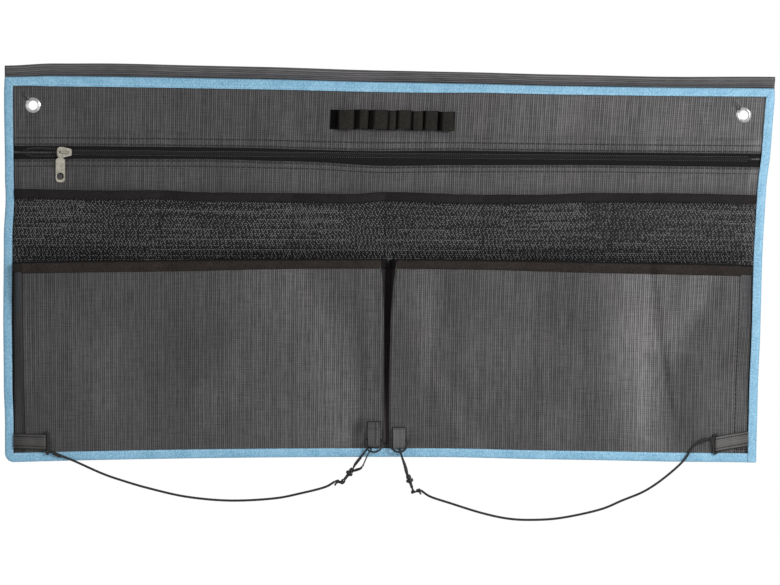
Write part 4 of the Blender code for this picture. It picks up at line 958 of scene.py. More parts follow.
# Side, heights of the tab's root and free end, and where the knot lies up and out of its fold
CORNER_TABS = {
    "left": (-1, -0.4715, -0.4735, -0.0135, 0.0),
    "right": (1, -0.4678, -0.4752, 0.0065, 0.0022),
}
# Place across, top and bottom
CENTRE_TABS = {"left": (-0.0088, -0.4513, -0.4851), "right": (0.0244, -0.4591, -0.4877)}
# Turn round the ring, lean and roll in degrees, and the cord's route
HOOKS = {"left": (220, 38, 55, CORD_LEFT_ROUTE), "right": (171, -18, 94, CORD_RIGHT_ROUTE)}


class Corner:
    """A corner tab's fold and the knot beside it."""

    def __init__(self, side, root_w, free_w, knot_up, knot_out):
        self.side, self.root_w, self.free_w = side, root_w, free_w
        self.root_u = side * (BINDING_INNER - GAP)
        self.fold_u = self.root_u - side * CORNER_TAB_LENGTH
        self.sewn_u = self.root_u - side * CORNER_TAB_SEWN
        highest = max(free_w, root_w) + CORNER_TAB_HEIGHT / 2
        self.back = pocket_depth(self.fold_u, highest) - LAYER - GAP
        self.bend = CORD_RADIUS + GAP + CLOTH / 2
        self.centre_y = self.back - self.bend
        self.turn_u = self.fold_u + side * self.bend
        self.leg = hang(self.turn_u, self.centre_y, free_w)
        self.outer_x = self.leg.x - side * (self.bend + CLOTH / 2 + GAP + CORD_RADIUS)
        self.knot = Vector((self.outer_x - side * knot_out, self.centre_y, self.leg.z + knot_up))


def hook_turn(lean, roll):
    """Rotation of a hook: its length leans from upright, then rolls about itself."""
    away = Vector((math.sin(lean), 0, math.cos(lean)))
    beside = Vector((math.cos(lean), 0, -math.sin(lean)))
    wide = beside * math.cos(roll) + Vector((0, -1, 0)) * math.sin(roll)
    return Matrix((wide, away.cross(wide), away)).transposed()


def circle(radius, count):
    """Points round +Y, from +X towards +Z."""
    steps = (math.tau * i / count for i in range(count))
    return [Vector((radius * math.cos(a), 0, radius * math.sin(a))) for a in steps]


def ring_place(word):
    """Middle and tilt of the ring in a centre tab."""
    tab_u = CENTRE_TABS[word][0]
    back = min(pocket_depth(tab_u, RING_TOP), BINDING_FRONT) - LAYER
    top = hang(tab_u, back - CLOTH / 2 - GAP - RING_WIRE, RING_TOP)
    tilt = Matrix.Rotation(-RING_TILT, 3, "X")
    return top + tilt @ Vector((0, 0, -RING_RADIUS)), tilt


def knot(middle, size, turn, axis, radius, ref):
    """A mesh of a three-lobed knot."""
    chain = []
    for i in range(48):
        a = math.tau * i / 48
        spot = Vector((
            math.sin(a) + 2 * math.sin(2 * a), -0.8 * math.sin(3 * a),
            math.cos(a) - 2 * math.cos(2 * a),
        )) * (size / 3)
        chain.append(middle + Matrix.Rotation(turn, 3, axis) @ spot)
    return rod(chain, radius, 10, ref, closed=True)


def end_knot(eye, tie, tie_side, aside, turn):
    """Meshes of the knot that ties the cord to its swivel."""
    thick, away = turn @ Vector((0, 1, 0)), turn @ Vector((0, 0, 1))
    flat = aside - thick * aside.dot(thick)
    wire = eye + flat.normalized() * SWIVEL_EYE_RADIUS
    off = thick * (SWIVEL_EYE_WIRE + 0.0013)
    loop = [
        tie + thick * 0.0012, wire + off, eye + thick * 0.0006, eye - thick * 0.0006, wire - off,
        tie - thick * 0.0012,
    ]
    end = [
        tie, tie + Vector((tie_side * 0.0018, -0.0016, -0.0026)),
        tie + Vector((tie_side * 0.0032, -0.0018, -0.0052)),
    ]
    return [
        rod(smooth_curve(loop, 0.0007), 0.0011, 10, away),
        knot(tie, 0.0021, 0.6, "X", 0.00115, (0.3, -1, 0.2)),
        rod(smooth_curve(end, 0.001), 0.00125, 10, (1, 0, 0)),
    ]


def tab_knot(corner):
    """Meshes of the cord's loop through a corner tab and the knot beside it."""
    half = CORNER_TAB_HEIGHT / 2 + GAP
    radius = abs(corner.outer_x - corner.leg.x) / 2
    middle_x = (corner.outer_x + corner.leg.x) / 2
    y, z = corner.centre_y, corner.leg.z
    wrap = [
        (middle_x + end * radius * math.cos(a), y, z + end * (half + radius * math.sin(a)))
        for end in (1, -1) for a in turns(0, 180, 15)
    ]
    strand = [
        (corner.outer_x, y, z - half * 0.6), (corner.outer_x - corner.side * 0.0012, y - 0.0006, z),
        corner.knot,
    ]
    return [
        rod(wrap, CORD_RADIUS, 12, closed=True),
        rod(smooth_curve(strand, 0.001), CORD_RADIUS * 0.95, 10),
        knot(corner.knot, 0.0024, 0.4, "Z", 0.0013, (0.2, -1, 0.3)),
    ]


# A hook in its own frame: x across to its arm, z along it, from the swivel's eye
BOSS_TOP = HOOK_BOSS_START + HOOK_BOSS_LENGTH
COLLAR_END = SWIVEL_COLLAR_START + SWIVEL_COLLAR_LENGTH
PIN_END = HOOK_BOSS_START + SWIVEL_PIN_LENGTH
BOW_X = HOOK_BOW_RADIUS - HOOK_SPINE_OFFSET
NOSE_X = BOW_X + HOOK_BOW_RADIUS
NOSE_Z = HOOK_BOW_CENTRE - HOOK_NOSE


def swivel():
    """Meshes of the swivel's eye, stem, collar and pin."""
    stem = turned_mesh([
        (0.0, SWIVEL_EYE_RADIUS - 0.0002), (0.0013, SWIVEL_EYE_RADIUS),
        (SWIVEL_STEM_RADIUS * 0.86, SWIVEL_EYE_RADIUS + 0.0009),
        (SWIVEL_STEM_RADIUS, SWIVEL_EYE_RADIUS + 0.0019),
        (SWIVEL_STEM_RADIUS * 0.9, SWIVEL_EYE_RADIUS + 0.0032),
        (SWIVEL_STEM_RADIUS, SWIVEL_COLLAR_START - 0.0012),
        (SWIVEL_COLLAR_RADIUS * 0.8, SWIVEL_COLLAR_START),
        (SWIVEL_COLLAR_RADIUS, SWIVEL_COLLAR_START + 0.0006),
        (SWIVEL_COLLAR_RADIUS, COLLAR_END - 0.0008), (SWIVEL_COLLAR_RADIUS * 0.84, COLLAR_END),
        (SWIVEL_PIN_RADIUS, COLLAR_END), (SWIVEL_PIN_RADIUS, PIN_END), (0.0, PIN_END),
    ], 32, closed=False)
    return [rod(circle(SWIVEL_EYE_RADIUS, 40), SWIVEL_EYE_WIRE, 16, (0, 1, 0), closed=True), stem]


def hook():
    """Meshes of the hook's spine with its bow, its arm and its boss."""
    spine = [
        (0, 0, BOSS_TOP - HOOK_WIRE), (0, 0, BOSS_TOP),
        (-HOOK_SPINE_OFFSET, 0, BOSS_TOP + HOOK_SPINE_BEND),
        (-HOOK_SPINE_OFFSET, 0, (BOSS_TOP + HOOK_BOW_CENTRE) / 2 + 0.004),
        (-HOOK_SPINE_OFFSET, 0, HOOK_BOW_CENTRE),
    ]
    for a in turns(160, 0, -20):
        spine.append((
            BOW_X + HOOK_BOW_RADIUS * math.cos(a), 0,
            HOOK_BOW_CENTRE + HOOK_BOW_RADIUS * math.sin(a),
        ))
    spine = smooth_curve([*spine, (NOSE_X, 0, NOSE_Z)], 0.0011)
    base, span = HOOK_BOSS_START + HOOK_BOSS_LENGTH * 0.7, HOOK_ARM_REACH
    arm = smooth_curve([
        (0, 0, base), (span * 0.34, 0, base + span * 0.03), (span * 0.62, 0, base + span * 0.27),
        (span * 0.97, 0, HOOK_ARM_TIP - span * 0.3), (span, 0, HOOK_ARM_TIP),
    ], 0.0011)
    swell = [
        HOOK_WIRE * (1 + 0.72 * ease(z, BOSS_TOP, BOSS_TOP + 0.008)
                     * (1 - ease(z, HOOK_BOW_CENTRE - 0.018, HOOK_BOW_CENTRE - 0.007)))
        for _, _, z in spine
    ]
    cup = [HOOK_WIRE * (1 + 0.62 * math.sin(math.pi * i / (len(arm) - 1))) for i in range(len(arm))]
    bore = SWIVEL_PIN_RADIUS + GAP
    boss = turned_mesh([
        (bore, HOOK_BOSS_START), (HOOK_BOSS_RADIUS - 0.0005, HOOK_BOSS_START),
        (HOOK_BOSS_RADIUS, HOOK_BOSS_START + 0.0006),
        (HOOK_BOSS_RADIUS * 0.94, HOOK_BOSS_START + HOOK_BOSS_LENGTH * 0.6),
        (HOOK_BOSS_RADIUS * 0.75, BOSS_TOP), (0.0, BOSS_TOP + 0.0004),
        (0.0, PIN_END + GAP), (bore, PIN_END + GAP),
    ], 32)
    return [
        rod(spine, swell, 18, (0, 1, 0), taper=0.75), rod(arm, cup, 18, (0, 1, 0), taper=0.8), boss,
    ]


def gate():
    """Meshes of the gate and its pivot."""
    root = Vector((HOOK_ARM_REACH, 0, HOOK_ARM_TIP + GATE_WIRE + GAP))
    tip = Vector((NOSE_X, 0, NOSE_Z - 2 * GAP))
    pivot = [root + Vector((0, y, 0)) for y in (-0.0011, 0.0, 0.0011)]
    return [
        rod([root.lerp(tip, i / 8) for i in range(9)], GATE_WIRE, 16, (0, 1, 0), taper=0.8),
        rod(pivot, GATE_WIRE * 0.98, 16, (0, 0, 1)),
    ]


def hooked_cord(word):
    """The cord, its knots and the snap hook on its end."""
    corner = Corner(*CORNER_TABS[word])
    around, lean, roll = (math.radians(value) for value in HOOKS[word][:3])
    route = HOOKS[word][3]
    ring, tilt = ring_place(word)
    contact = ring + tilt @ (Vector((math.sin(around), 0, math.cos(around))) * RING_RADIUS)
    turn = hook_turn(lean, roll)
    eye = contact - turn @ Vector((BOW_X, 0, HOOK_BOW_CENTRE))
    reach = (contact - corner.knot).normalized()
    start = corner.knot + reach * (KNOT_RADIUS + GAP)
    slope = (contact.y - start.y) / (contact.x - start.x)
    tie_side = -1 if route[-1][0] < eye.x else 1
    aside = Vector((tie_side, 0, 0))
    tie = eye + aside * (SWIVEL_EYE_RADIUS + SWIVEL_EYE_WIRE + GAP + TIE_RADIUS)
    points = [start, start + reach * CORD_START]
    points += [Vector((x, start.y + slope * (x - start.x), z)) for x, z in route]
    chain = smooth_curve([*points, tie + aside * (TIE_RADIUS + GAP)], 0.003)
    doubled = [spot + Vector((0, -0.0004, -CORD_RADIUS * 1.5)) for spot in chain[1:6]]
    place = Matrix.Translation(eye) @ turn.to_4x4()
    swag = "swag_" + word
    for label, mesh, finish, body, slot, *nodes in (
        ("cord_line_", rod(chain, CORD_RADIUS, 14), CORD_BLACK, swag, "cord", "cord_" + word),
        ("cord_tail_", rod(doubled, CORD_RADIUS * 0.9, 12, taper=0.6), CORD_BLACK, swag, "cord"),
        ("cord_knot_", joined(end_knot(eye, tie, tie_side, aside, turn)), CORD_BLACK, swag, "cord",
         "cord_tie_" + word),
        ("cord_wrap_", joined(tab_knot(corner)), CORD_BLACK, "panel", "cord",
         "cord_anchor_" + word),
        ("hook_eye_", joined(swivel(), place), BLACK_METAL, swag, "black_metal",
         f"hook_{word}_swivel"),
        ("hook_body_", joined(hook(), place), BLACK_METAL, "hook_" + word, "black_metal",
         f"hook_{word}_frame"),
        ("hook_flap_", joined(gate(), place), BLACK_METAL, "gate_" + word, "black_metal",
         f"hook_{word}_gate"),
    ):
        piece(label + word, mesh, finish, body, slot, *nodes)
    length_of(chain)
    [tuple(spot) for spot in chain]
    return corner


corners = {word: hooked_cord(word) for word in ("left", "right")}


# Rail strip and bead

def rail():
    """The bead and the cloth sleeve folded round it."""
    path = [
        (SLEEVE_FRONT, FLANGE_BOTTOM), (SLEEVE_FRONT, -0.0140), (SLEEVE_FRONT * 0.8, -0.0115),
        (0.0010, -0.0090), (-0.0003, -0.0068), (-0.0017, -0.0047), (-0.0029, -0.0027),
    ]
    path += [(REAR * math.cos(a), REAR * math.sin(a)) for a in turns(210, 15, -15)]
    path += [(REAR, 0.0), (REAR, FLANGE_BOTTOM / 2), (REAR, FLANGE_BOTTOM)]
    across = steps_between(-HALF_WIDTH, HALF_WIDTH, 250)

    def strip(u, y, w):
        return hang(u, y, w + along(u, STRIP_WAVE))

    grid = []
    for far, (y, w) in measured(path):
        loose = 0.00035 * ease(w, -0.004, 0.002)
        grid.append([
            (strip(u, y, w) + Vector((0, rough((u * 30, far * 40, 3.0), loose), 0)), (far, u))
            for u in across
        ])
    cloth(
        "rail_sleeve", grid, GREY_STRIP, "ribbed_fabric", "rail_strip",
    )
    end = HALF_WIDTH - 0.002
    line = [strip(u, 0.0, 0.0) for u in steps_between(-end, end, 120)]
    bead = rod(line, BEAD_RADIUS, 16, (0, 0, 1))
    piece("rail_bead_cord", bead, BEAD_FINISH, "panel", "bead", "rail_bead")
    arcs = []
    for u in (0.0078 - HALF_WIDTH, HALF_WIDTH - 0.0078):
        for start in range(100, 260, 40):
            arc = []
            for share in (0.0, 0.25, 0.5, 0.75, 1.0):
                a = math.radians(start + 24 * share)
                lift = REAR + CLOTH / 2 + (0.00028 if 0 < share < 1 else STITCH_SUNK)
                arc.append(tuple(strip(u, lift * math.cos(a), lift * math.sin(a))))
            arcs.append(arc)
    stitches("rail_end_stitches", arcs, THREAD_BLACK, "ribbed_fabric", ref=(1, 0, 0))


# Corners of the panel: side, level, which way is out, radius and first angle
PANEL_CORNERS = (
    (1, PANEL_BOTTOM, -1, CORNER_RADIUS, -90), (1, BINDING_TOP, 1, CORNER_RADIUS, 0),
    (-1, BINDING_TOP, 1, CORNER_RADIUS, 90), (-1, PANEL_BOTTOM, -1, ROUND_CORNER_RADIUS, 180),
)
PANEL_HEIGHT = BINDING_TOP - PANEL_BOTTOM
CORNER_RUN = 0.008


def outline(inset, step):
    """The panel's edge moved in by inset, as (u, w, run, corner), from the bottom right."""
    arcs = []
    for side, level, out, radius, start in PANEL_CORNERS:
        turn = max(radius - inset, 0.0008)
        u, w = side * (HALF_WIDTH - inset - turn), level - out * (inset + turn)
        angles = [math.radians(start + 90 * i / 8) for i in range(9)]
        arcs.append([(u + turn * math.cos(a), w + turn * math.sin(a)) for a in angles])
    loop, run = [], 0.0
    spans = (PANEL_HEIGHT, PANEL_WIDTH) * 2
    for arc, following, span in zip(arcs, arcs[1:] + arcs[:1], spans):
        loop += [(u, w, run + i * 0.001, abs(i - 4) / 4) for i, (u, w) in enumerate(arc)]
        run += CORNER_RUN
        (u0, w0), (u1, w1) = arc[-1], following[0]
        count = round(span / step)
        for i in range(1, count):
            share = i / count
            off = 1 + min(share, 1 - share) * span / 0.001
            loop.append((u0 + (u1 - u0) * share, w0 + (w1 - w0) * share, run + span * share, off))
        run += span
    return loop


def binding_spot(u, w, run, off, inset, out, crown):
    """A spot of the binding, puckered at its stitches and frayed along its edge."""
    front = 1.0 if out < 0 else 0.0
    pucker = math.cos(math.tau * run / BINDING_PITCH) * 0.00024 * ease(inset, 0.006, 0.0095)
    fray = rough((run * 90, 4.0, 1.0), 0.00022) * ease(inset, 0.008, 0.0115)
    sway = rough((run * 22, 9.0, inset * 90), 0.00042)
    valley = 0.0005 * max(1 - off, 0.0) * ease(inset, 0.0015, 0.004) * (w > -0.4)
    y = (BINDING_BACK + BINDING_FRONT) / 2 + out + front * (pucker - crown + sway + valley)
    if abs(u) > HALF_WIDTH - 0.03:
        return hang(u - math.copysign(1, u) * fray, y, w)
    if w > PANEL_BOTTOM / 2:
        wide = 0.0015 * ease(-u, -0.14, -0.02) * ease(0.47 + u, 0.0, 0.03)
        return hang(u, y, w - fray - wide * front * ease(inset, 0.004, BINDING_WIDTH))
    return hang(u, y, w + fray)


def binding():
    """The tape folded over the edges, its stitches and its lap at a corner."""
    half = (BINDING_BACK - BINDING_FRONT) / 2
    section = [
        (BINDING_WIDTH * share, -half, math.sin(math.pi * share) * 0.00035)
        for share in (1.0, 0.96, 0.88, 0.80, 0.66, 0.50, 0.36, 0.24)
    ]
    for angle in (-90, -70, -45, -20, 0, 25, 50, 75, 90):
        turn = math.radians(angle)
        inset = CLOTH / 2 + BINDING_TURN * (1 - math.cos(turn))
        section.append((inset, half * math.sin(turn), 0.0))
    section += [(BINDING_WIDTH * 0.5, half, 0.0), (BINDING_WIDTH, half, 0.0)]
    grid = []
    for far, (inset, out) in measured([spot[:2] for spot in section]):
        crown = section[len(grid)][2]
        spots = outline(inset, 0.0018)
        row = [(binding_spot(*spot, inset, out, crown), (far, spot[2])) for spot in spots]
        grid.append([*row, (row[0][0], (far, row[-1][1][1] + 0.0018))])
    cloth(
        "binding_tape", grid, BLUE, "binding", "edge_binding",
    )

    def face(u, w):
        return BINDING_FRONT - 0.0001

    edge = [spot[:2] for spot in outline(BINDING_WIDTH - 0.0017, BINDING_PITCH)]
    top = [(u, BINDING_TOP - 0.0020) for u in steps_between(-0.494, 0.494, 80)]
    for name, line, share, thread in (
        ("binding_stitches", [*edge, edge[0]], 0.52, 0.00026),
        ("binding_top_stitches", top, 0.5, 0.0002),
    ):
        chains = stitch_chains(line, face, BINDING_PITCH, share, 0.0003)
        stitches(name, chains, THREAD_BLUE, "binding", thread)

    def lap_spot(u, w):
        sink = ease(w, PANEL_BOTTOM + 0.014, PANEL_BOTTOM + 0.029) * 0.0008
        round_off = 0.0008 * ease(u, HALF_WIDTH - 0.003, HALF_WIDTH)
        return hang(u, BINDING_FRONT - LAYER + sink + round_off, w), (u, w)

    rows = steps_between(PANEL_BOTTOM + 0.0003, PANEL_BOTTOM + 0.030, 16)
    grid = [
        [lap_spot(u, w) for w in rows] for u in steps_between(BINDING_INNER, HALF_WIDTH - 0.0007, 7)
    ]
    cloth(
        "binding_lap", grid, BLUE, "binding", None,
    )


rail()
binding()


# Sheets, eyelets and elastic

FINE_STEP = 0.0013
FINE_REACH = 0.014


def near_stations(end, coarse, fine, spots, reach, start=None):
    """Values from start, or from minus end, to end, close together near the given spots."""
    at = -end if start is None else start
    values = [at]
    while at < end - fine / 2:
        close = any(abs(at + fine - spot) < reach for spot in spots)
        at = min(at + (fine if close else coarse), end)
        values.append(at)
    if end - values[-1] > 1e-9:
        values.append(end)
    return values


def pattern_grid(across, up, depth, shift=None):
    """A grid over the flat pattern: across and up are u and w values."""
    grid = []
    for w in up:
        row = []
        for u in across:
            flat_u, flat_w = pulled_corner(u, w)
            point = hang(flat_u, depth(u, w), flat_w)
            if shift:
                point.z += shift(u, w)
            row.append((point, (u, w)))
        grid.append(row)
    return grid


def at_eyelet(u0, w0, u1, w1):
    """True for a grid face that the eyelet's hole takes."""
    du = min(max(min(u0, u1) - u, u - max(u0, u1), 0.0) for u in EYELETS)
    dw = max(min(w0, w1) - EYELET_UP, EYELET_UP - max(w0, w1), 0.0)
    return math.hypot(du, dw) < EYELET_HOLE_RADIUS + EYELET_WALL + GAP


def eyelet_pull(u, w):
    """A short sharp fold up and left of each eyelet."""
    lift, dw = 0.0, w - EYELET_UP
    for du in (u - eye for eye in EYELETS):
        away = 0.8 * dw - 0.6 * du
        run = ease(away, 0.0075, 0.011) * (1 - ease(away, 0.016, 0.024))
        lift += 0.0034 * run * math.exp(-((0.8 * du + 0.6 * dw) / 0.0015) ** 2)
    return lift


def back_face(u, w):
    """Middle of the back sheet."""
    quiet = ease(w, SHEET_BOTTOM + 0.008, SHEET_BOTTOM + 0.04)
    return BACK_PANEL + ripple(u, w) * 1.2 * quiet * ease(-w, 0.008 - SHEET_TOP, 0.03)


def header_face(u, w):
    """Middle of the sheet above the zip, rippled."""
    quiet = ease(w, HEADER_BOTTOM, HEADER_BOTTOM + 0.02) * ease(-w, -SHEET_TOP, 0.03)
    return header_depth(u, w) - ripple(u, w) * quiet * 0.9 - eyelet_pull(u, w)


def header_edge(u, w):
    """Lift of that sheet's lower edge."""
    return along(u, HEADER_EDGE_WAVE) * ease(-w, -HEADER_SLOPE_TOP, -HEADER_BOTTOM)


def lower_face(u, w):
    """Middle of the sheet below the zip, rippled."""
    quiet = ease(-w, -LOWER_PANEL_TOP, -ZIP_POCKET_DEEP_TOP)
    return lower_depth(u, w) - ripple(u, w) * quiet * 0.8


def lower_edge(u, w):
    """Lift of that sheet's upper edge."""
    return along(u, LOWER_EDGE_WAVE) * (1 - ease(-w, -LOWER_PANEL_TOP, -NET_HEM_TOP))


def header_painted_light(u, w):
    """Painted light and shade on that sheet."""
    return painted_light_at(u, w, HEADER_PAINTED_BANDS)


def lower_painted_light(u, w):
    """Painted light and shade on the sheet below the zip, with painted shade under the net."""
    return header_painted_light(u, w) + 0.7 * (ease(w, NET_HEM_TOP - 0.006, NET_HEM_TOP - 0.002) - 1)


def sheets():
    """The back sheet and the front sheets above and below the zip."""
    around = (FINE_STEP, EYELETS, FINE_REACH)
    beside = (FINE_STEP, (EYELET_UP,), FINE_REACH)
    for name, node, finish, coarse, up, depth, shift, skip, painted_light in (
        ("back_cloth", "back_panel", GREY_BACK, 0.006,
         near_stations(SHEET_TOP, 0.006, *beside, SHEET_BOTTOM), back_face, None, at_eyelet, None),
        ("header_cloth", "header_panel", GREY, 0.004,
         near_stations(SHEET_TOP, 0.003, *beside, HEADER_BOTTOM), header_face, header_edge,
         at_eyelet, header_painted_light),
        ("lower_cloth", "lower_panel", GREY, None,
         steps_between(ZIP_POCKET_BOTTOM, LOWER_PANEL_TOP, 40), lower_face, lower_edge, None,
         lower_painted_light),
    ):
        if coarse:
            across = near_stations(SHEET_SIDE, coarse, *around)
        else:
            across = near_stations(SHEET_SIDE, 0.005, 0.002, ZIP_ENDS, 0.012)
        cloth(
            name, pattern_grid(across, up, depth, shift), finish, "ribbed_fabric", node,
            skip=skip, painted_light=painted_light,
        )
    upper, lower = [], []
    run = steps_between(-0.486, 0.486, 160)
    for up_by, down_by in zip(HEADER_SEAM_UPS, (0.0030, 0.0092)):
        line = [(u, HEADER_BOTTOM + up_by + header_edge(u, HEADER_BOTTOM)) for u in run]
        upper += stitch_chains(line, header_face, 0.0036, 0.62)
        line = [(u, LOWER_PANEL_TOP - down_by + lower_edge(u, LOWER_PANEL_TOP) * 0.9) for u in run]
        lower += stitch_chains(line, lower_face, 0.0036, 0.62)
    stitches("zip_stitches_upper", upper, THREAD_BLACK, "ribbed_fabric", 0.0003)
    stitches("zip_stitches_lower", lower, THREAD_BLACK, "ribbed_fabric", 0.0003)


def eyelet(place, word):
    """The bright eyelet with its rolled lip, and the washer behind."""
    front = CLOTH / 2 - FRONT_PANEL + GAP
    back = -(BACK_PANEL + CLOTH / 2 + GAP)
    rear = back - WASHER_THICKNESS
    lip = rear - GAP
    inner, flange = EYELET_HOLE_RADIUS, EYELET_FLANGE_RADIUS
    outer = inner + EYELET_WALL
    barrel = [
        (outer, front), (outer, lip), (outer + 0.0010, lip), (outer + 0.0012, lip - 0.0003),
        (outer + 0.0008, lip - 0.0006), (inner + 0.0003, lip - 0.0006), (inner, lip - 0.0003),
    ]
    barrel += [(radius, front + EYELET_DOME * tall) for radius, tall in (
        (inner, 0.35), (inner + 0.0002, 0.75), (inner + 0.0007, 1.0), (inner + 0.0014, 1.0),
        (flange - 0.0016, 0.86), (flange - 0.0007, 0.55),
    )]
    barrel += [(flange, front + 0.0003), (flange - 0.0001, front)]
    washer = [
        (outer + GAP, back), (outer + GAP, back - WASHER_THICKNESS * 0.8), (outer + 0.0006, rear),
        (flange - 0.0006, rear), (flange, back - WASHER_THICKNESS * 0.6), (flange, back),
    ]
    turn = Matrix.Translation(hang(place, 0.0, EYELET_UP)) @ Matrix.Rotation(math.pi / 2, 4, "X")
    for label, profile, node in (("barrel", barrel, "eyelet"), ("rear", washer, "washer")):
        mesh = turned_mesh(profile, 72)
        mesh.transform(turn)
        piece(f"eyelet_{label}_{word}", mesh, STEEL, "panel", "eyelet", f"{node}_{word}")


# Faces of the elastic loops: left and right edge, height share and shift up, in metres
LOOP_FACES = (
    (-0.0640, -0.0440, 1.00, -0.0004), (-0.0366, -0.0258, 0.93, 0.0006),
    (-0.0180, 0.0000, 1.00, 0.0003), (0.0024, 0.0104, 0.90, -0.0003),
    (0.0141, 0.0303, 1.00, 0.0004), (0.0336, 0.0455, 0.95, -0.0005),
    (0.0492, 0.0648, 1.02, 0.0002), (0.0712, 0.0868, 0.97, -0.0007),
)
LOOP_CORNER = 0.92


def elastic():
    """One black band, sewn down between eight loops that each sit their own way."""
    sewn = FRONT_PANEL - CLOTH / 2 - GAP - ELASTIC / 2
    start = LOOPS_ACROSS - LOOP_COUNT * LOOP_PITCH / 2
    seams = [start + loop * LOOP_PITCH for loop in range(LOOP_COUNT + 1)]
    path = [(start - LOOP_END, sewn, 0.0), (start - 0.001, sewn, 0.0)]

    def leg(foot, edge, rise, shift, share):
        up = rise * LOOP_CORNER * math.sin(math.pi / 2 * share)
        return foot + (edge - foot) * share ** 1.3, sewn - up, shift * share

    for seam, (left, right, tall, shift) in zip(seams, LOOP_FACES):
        foot, heel = seam + LOOP_SEAM / 2, seam + LOOP_PITCH - LOOP_SEAM / 2
        rise = LOOP_RISE * tall
        path += [leg(foot, left, rise, shift, share) for share in steps_between(0.0, 1.0, 8)]
        for share in steps_between(0.0, 1.0, 9)[1:-1]:
            crown = LOOP_CORNER + (1 - LOOP_CORNER) * math.sin(math.pi * share)
            path.append((left + (right - left) * share, sewn - rise * crown, shift))
        path += [leg(heel, right, rise, shift, share) for share in steps_between(1.0, 0.0, 8)]
    path += [(seams[-1] + 0.001, sewn, 0.0), (seams[-1] + LOOP_END, sewn, 0.0)]
    fars = [far for far, _ in measured([spot[:2] for spot in path])]
    # Painted shade: the elastic is darkened everywhere but on its loops' raised faces, so on their
    # sides and in the gaps between them
    shades = {}
    for far, (u, y, _) in zip(fars, path):
        inside = max(
            ease(u, left - 0.0004, left + 0.0008) * ease(-u, -right - 0.0004, 0.0008 - right)
            for left, right, _, _ in LOOP_FACES
        )
        shades[far] = 0.94 * (inside * ease((sewn - y) / LOOP_RISE, 0.6, 0.9) - 1)
    grid = []
    for share in steps_between(-0.5, 0.5, 12):
        row = []
        for far, (u, y, shift) in zip(fars, path):
            w = LOOPS_UP + share * ELASTIC_WIDTH + shift
            stand = (sewn - y) / LOOP_RISE
            flare = rough((far * 60, share * 3, 2.0), 0.0005) * stand
            row.append((hang(u + shift * share * stand, y - flare, w), (w, far)))
        grid.append(row)
    cloth(
        "elastic_band", grid, ELASTIC_BLACK, "elastic", "elastic_loops",
        ELASTIC, painted_light=lambda w, far: shades[far],
    )
    chains = []
    for u in seams:
        line = [(u, LOOPS_UP + w) for w in steps_between(-ELASTIC_WIDTH / 2, ELASTIC_WIDTH / 2, 8)]
        chains += stitch_chains(line, lambda u, w: sewn - (ELASTIC - CLOTH) / 2, 0.0022, 0.7, 0.0003)
    stitches("elastic_stitches", chains, THREAD_BLACK, "elastic")


sheets()
eyelet(-EYELET_ACROSS, "left")
eyelet(EYELET_ACROSS, "right")
elastic()


# Zip

def zip_tapes():
    """The woven tapes and the coil sewn along each."""
    nose, tail = SLIDER_ACROSS - SLIDER_LENGTH / 2, SLIDER_ACROSS + SLIDER_LENGTH / 2
    opening = (
        (-COIL_END, 0.0006), (COIL_OPEN_INSET - HALF_WIDTH, 0.0030),
        (nose - SLIDER_LENGTH * 0.1, 0.0024), (nose + SLIDER_LENGTH * 0.16, 0.0014),
        (nose + POST_LENGTH + SLIDER_LENGTH * 0.1, 0.0006), (tail - SLIDER_LENGTH * 0.2, GAP / 2),
        (COIL_END, GAP / 2),
    )

    def face(u, w):
        cupped = 0.0003 * math.sin(u * 160) * ease(TAPE_INNER - abs(w - ZIP_UP), -0.01, -0.001)
        return TAPE_EDGE + (TAPE_MIDDLE - TAPE_EDGE + cupped) * side_rise(u)

    across = near_stations(BINDING_INNER, 0.006, 0.002, ZIP_ENDS, 0.012)
    turn_count = int(2 * COIL_END / COIL_PITCH) * COIL_STEPS
    reach = COIL_RADIUS - 0.00028
    chains, pale = [], []
    for sign, word in ((1, "upper"), (-1, "lower")):
        edges = sorted((ZIP_UP + sign * TAPE_INNER, ZIP_UP + sign * (TAPE_INNER + TAPE_WIDTH)))
        cloth(
            "zip_cloth_" + word, pattern_grid(across, steps_between(*edges, 8), face), ZIP_TAPE,
            "black_fabric", "zip_tape_" + word,
        )
        line = []
        for i, u in enumerate(steps_between(-COIL_END, COIL_END, turn_count)):
            angle = math.tau * i / COIL_STEPS + (math.pi if sign < 0 else 0.0)
            out = COIL_RADIUS + along(u, opening) - 0.0001 - (reach + 0.00025) * math.cos(angle)
            y = COIL_DEPTH + reach * 0.8 * math.sin(angle)
            line.append(hang(u + 0.00025 * math.cos(angle), y, ZIP_UP + sign * out))
        coil = rod(line, 0.00029, 5, (1, 0, 0))
        piece("zip_chain_" + word, coil, COIL_NYLON, "panel", "zip_coil", "zip_coil_" + word)
        for row, rows in ((0.0027, pale), (0.0046, chains)):
            line = [
                (u, ZIP_UP + sign * (row + along(u, opening)))
                for u in steps_between(-0.472, 0.472, 120)
            ]
            rows += stitch_chains(line, face, 0.0026, 0.5)
    stitches("zip_tape_stitches", chains, THREAD_BLACK, "black_fabric", 0.00017)
    stitches("zip_coil_stitches", pale, THREAD_GREY, "black_fabric", 0.00026)


zip_tapes()


# Net pockets

NET_CELL = 0.00176
NET_YARN = 0.00040
NET_JITTER = 0.00011
NET_END = BINDING_INNER - NET_THREAD


def net_height(u, w):
    """World lift of the net's mouth, which waves with its tape."""
    return along(u, NET_HEM_WAVE) * ease(w, NET_BOTTOM + 0.02, NET_HEM_TOP)


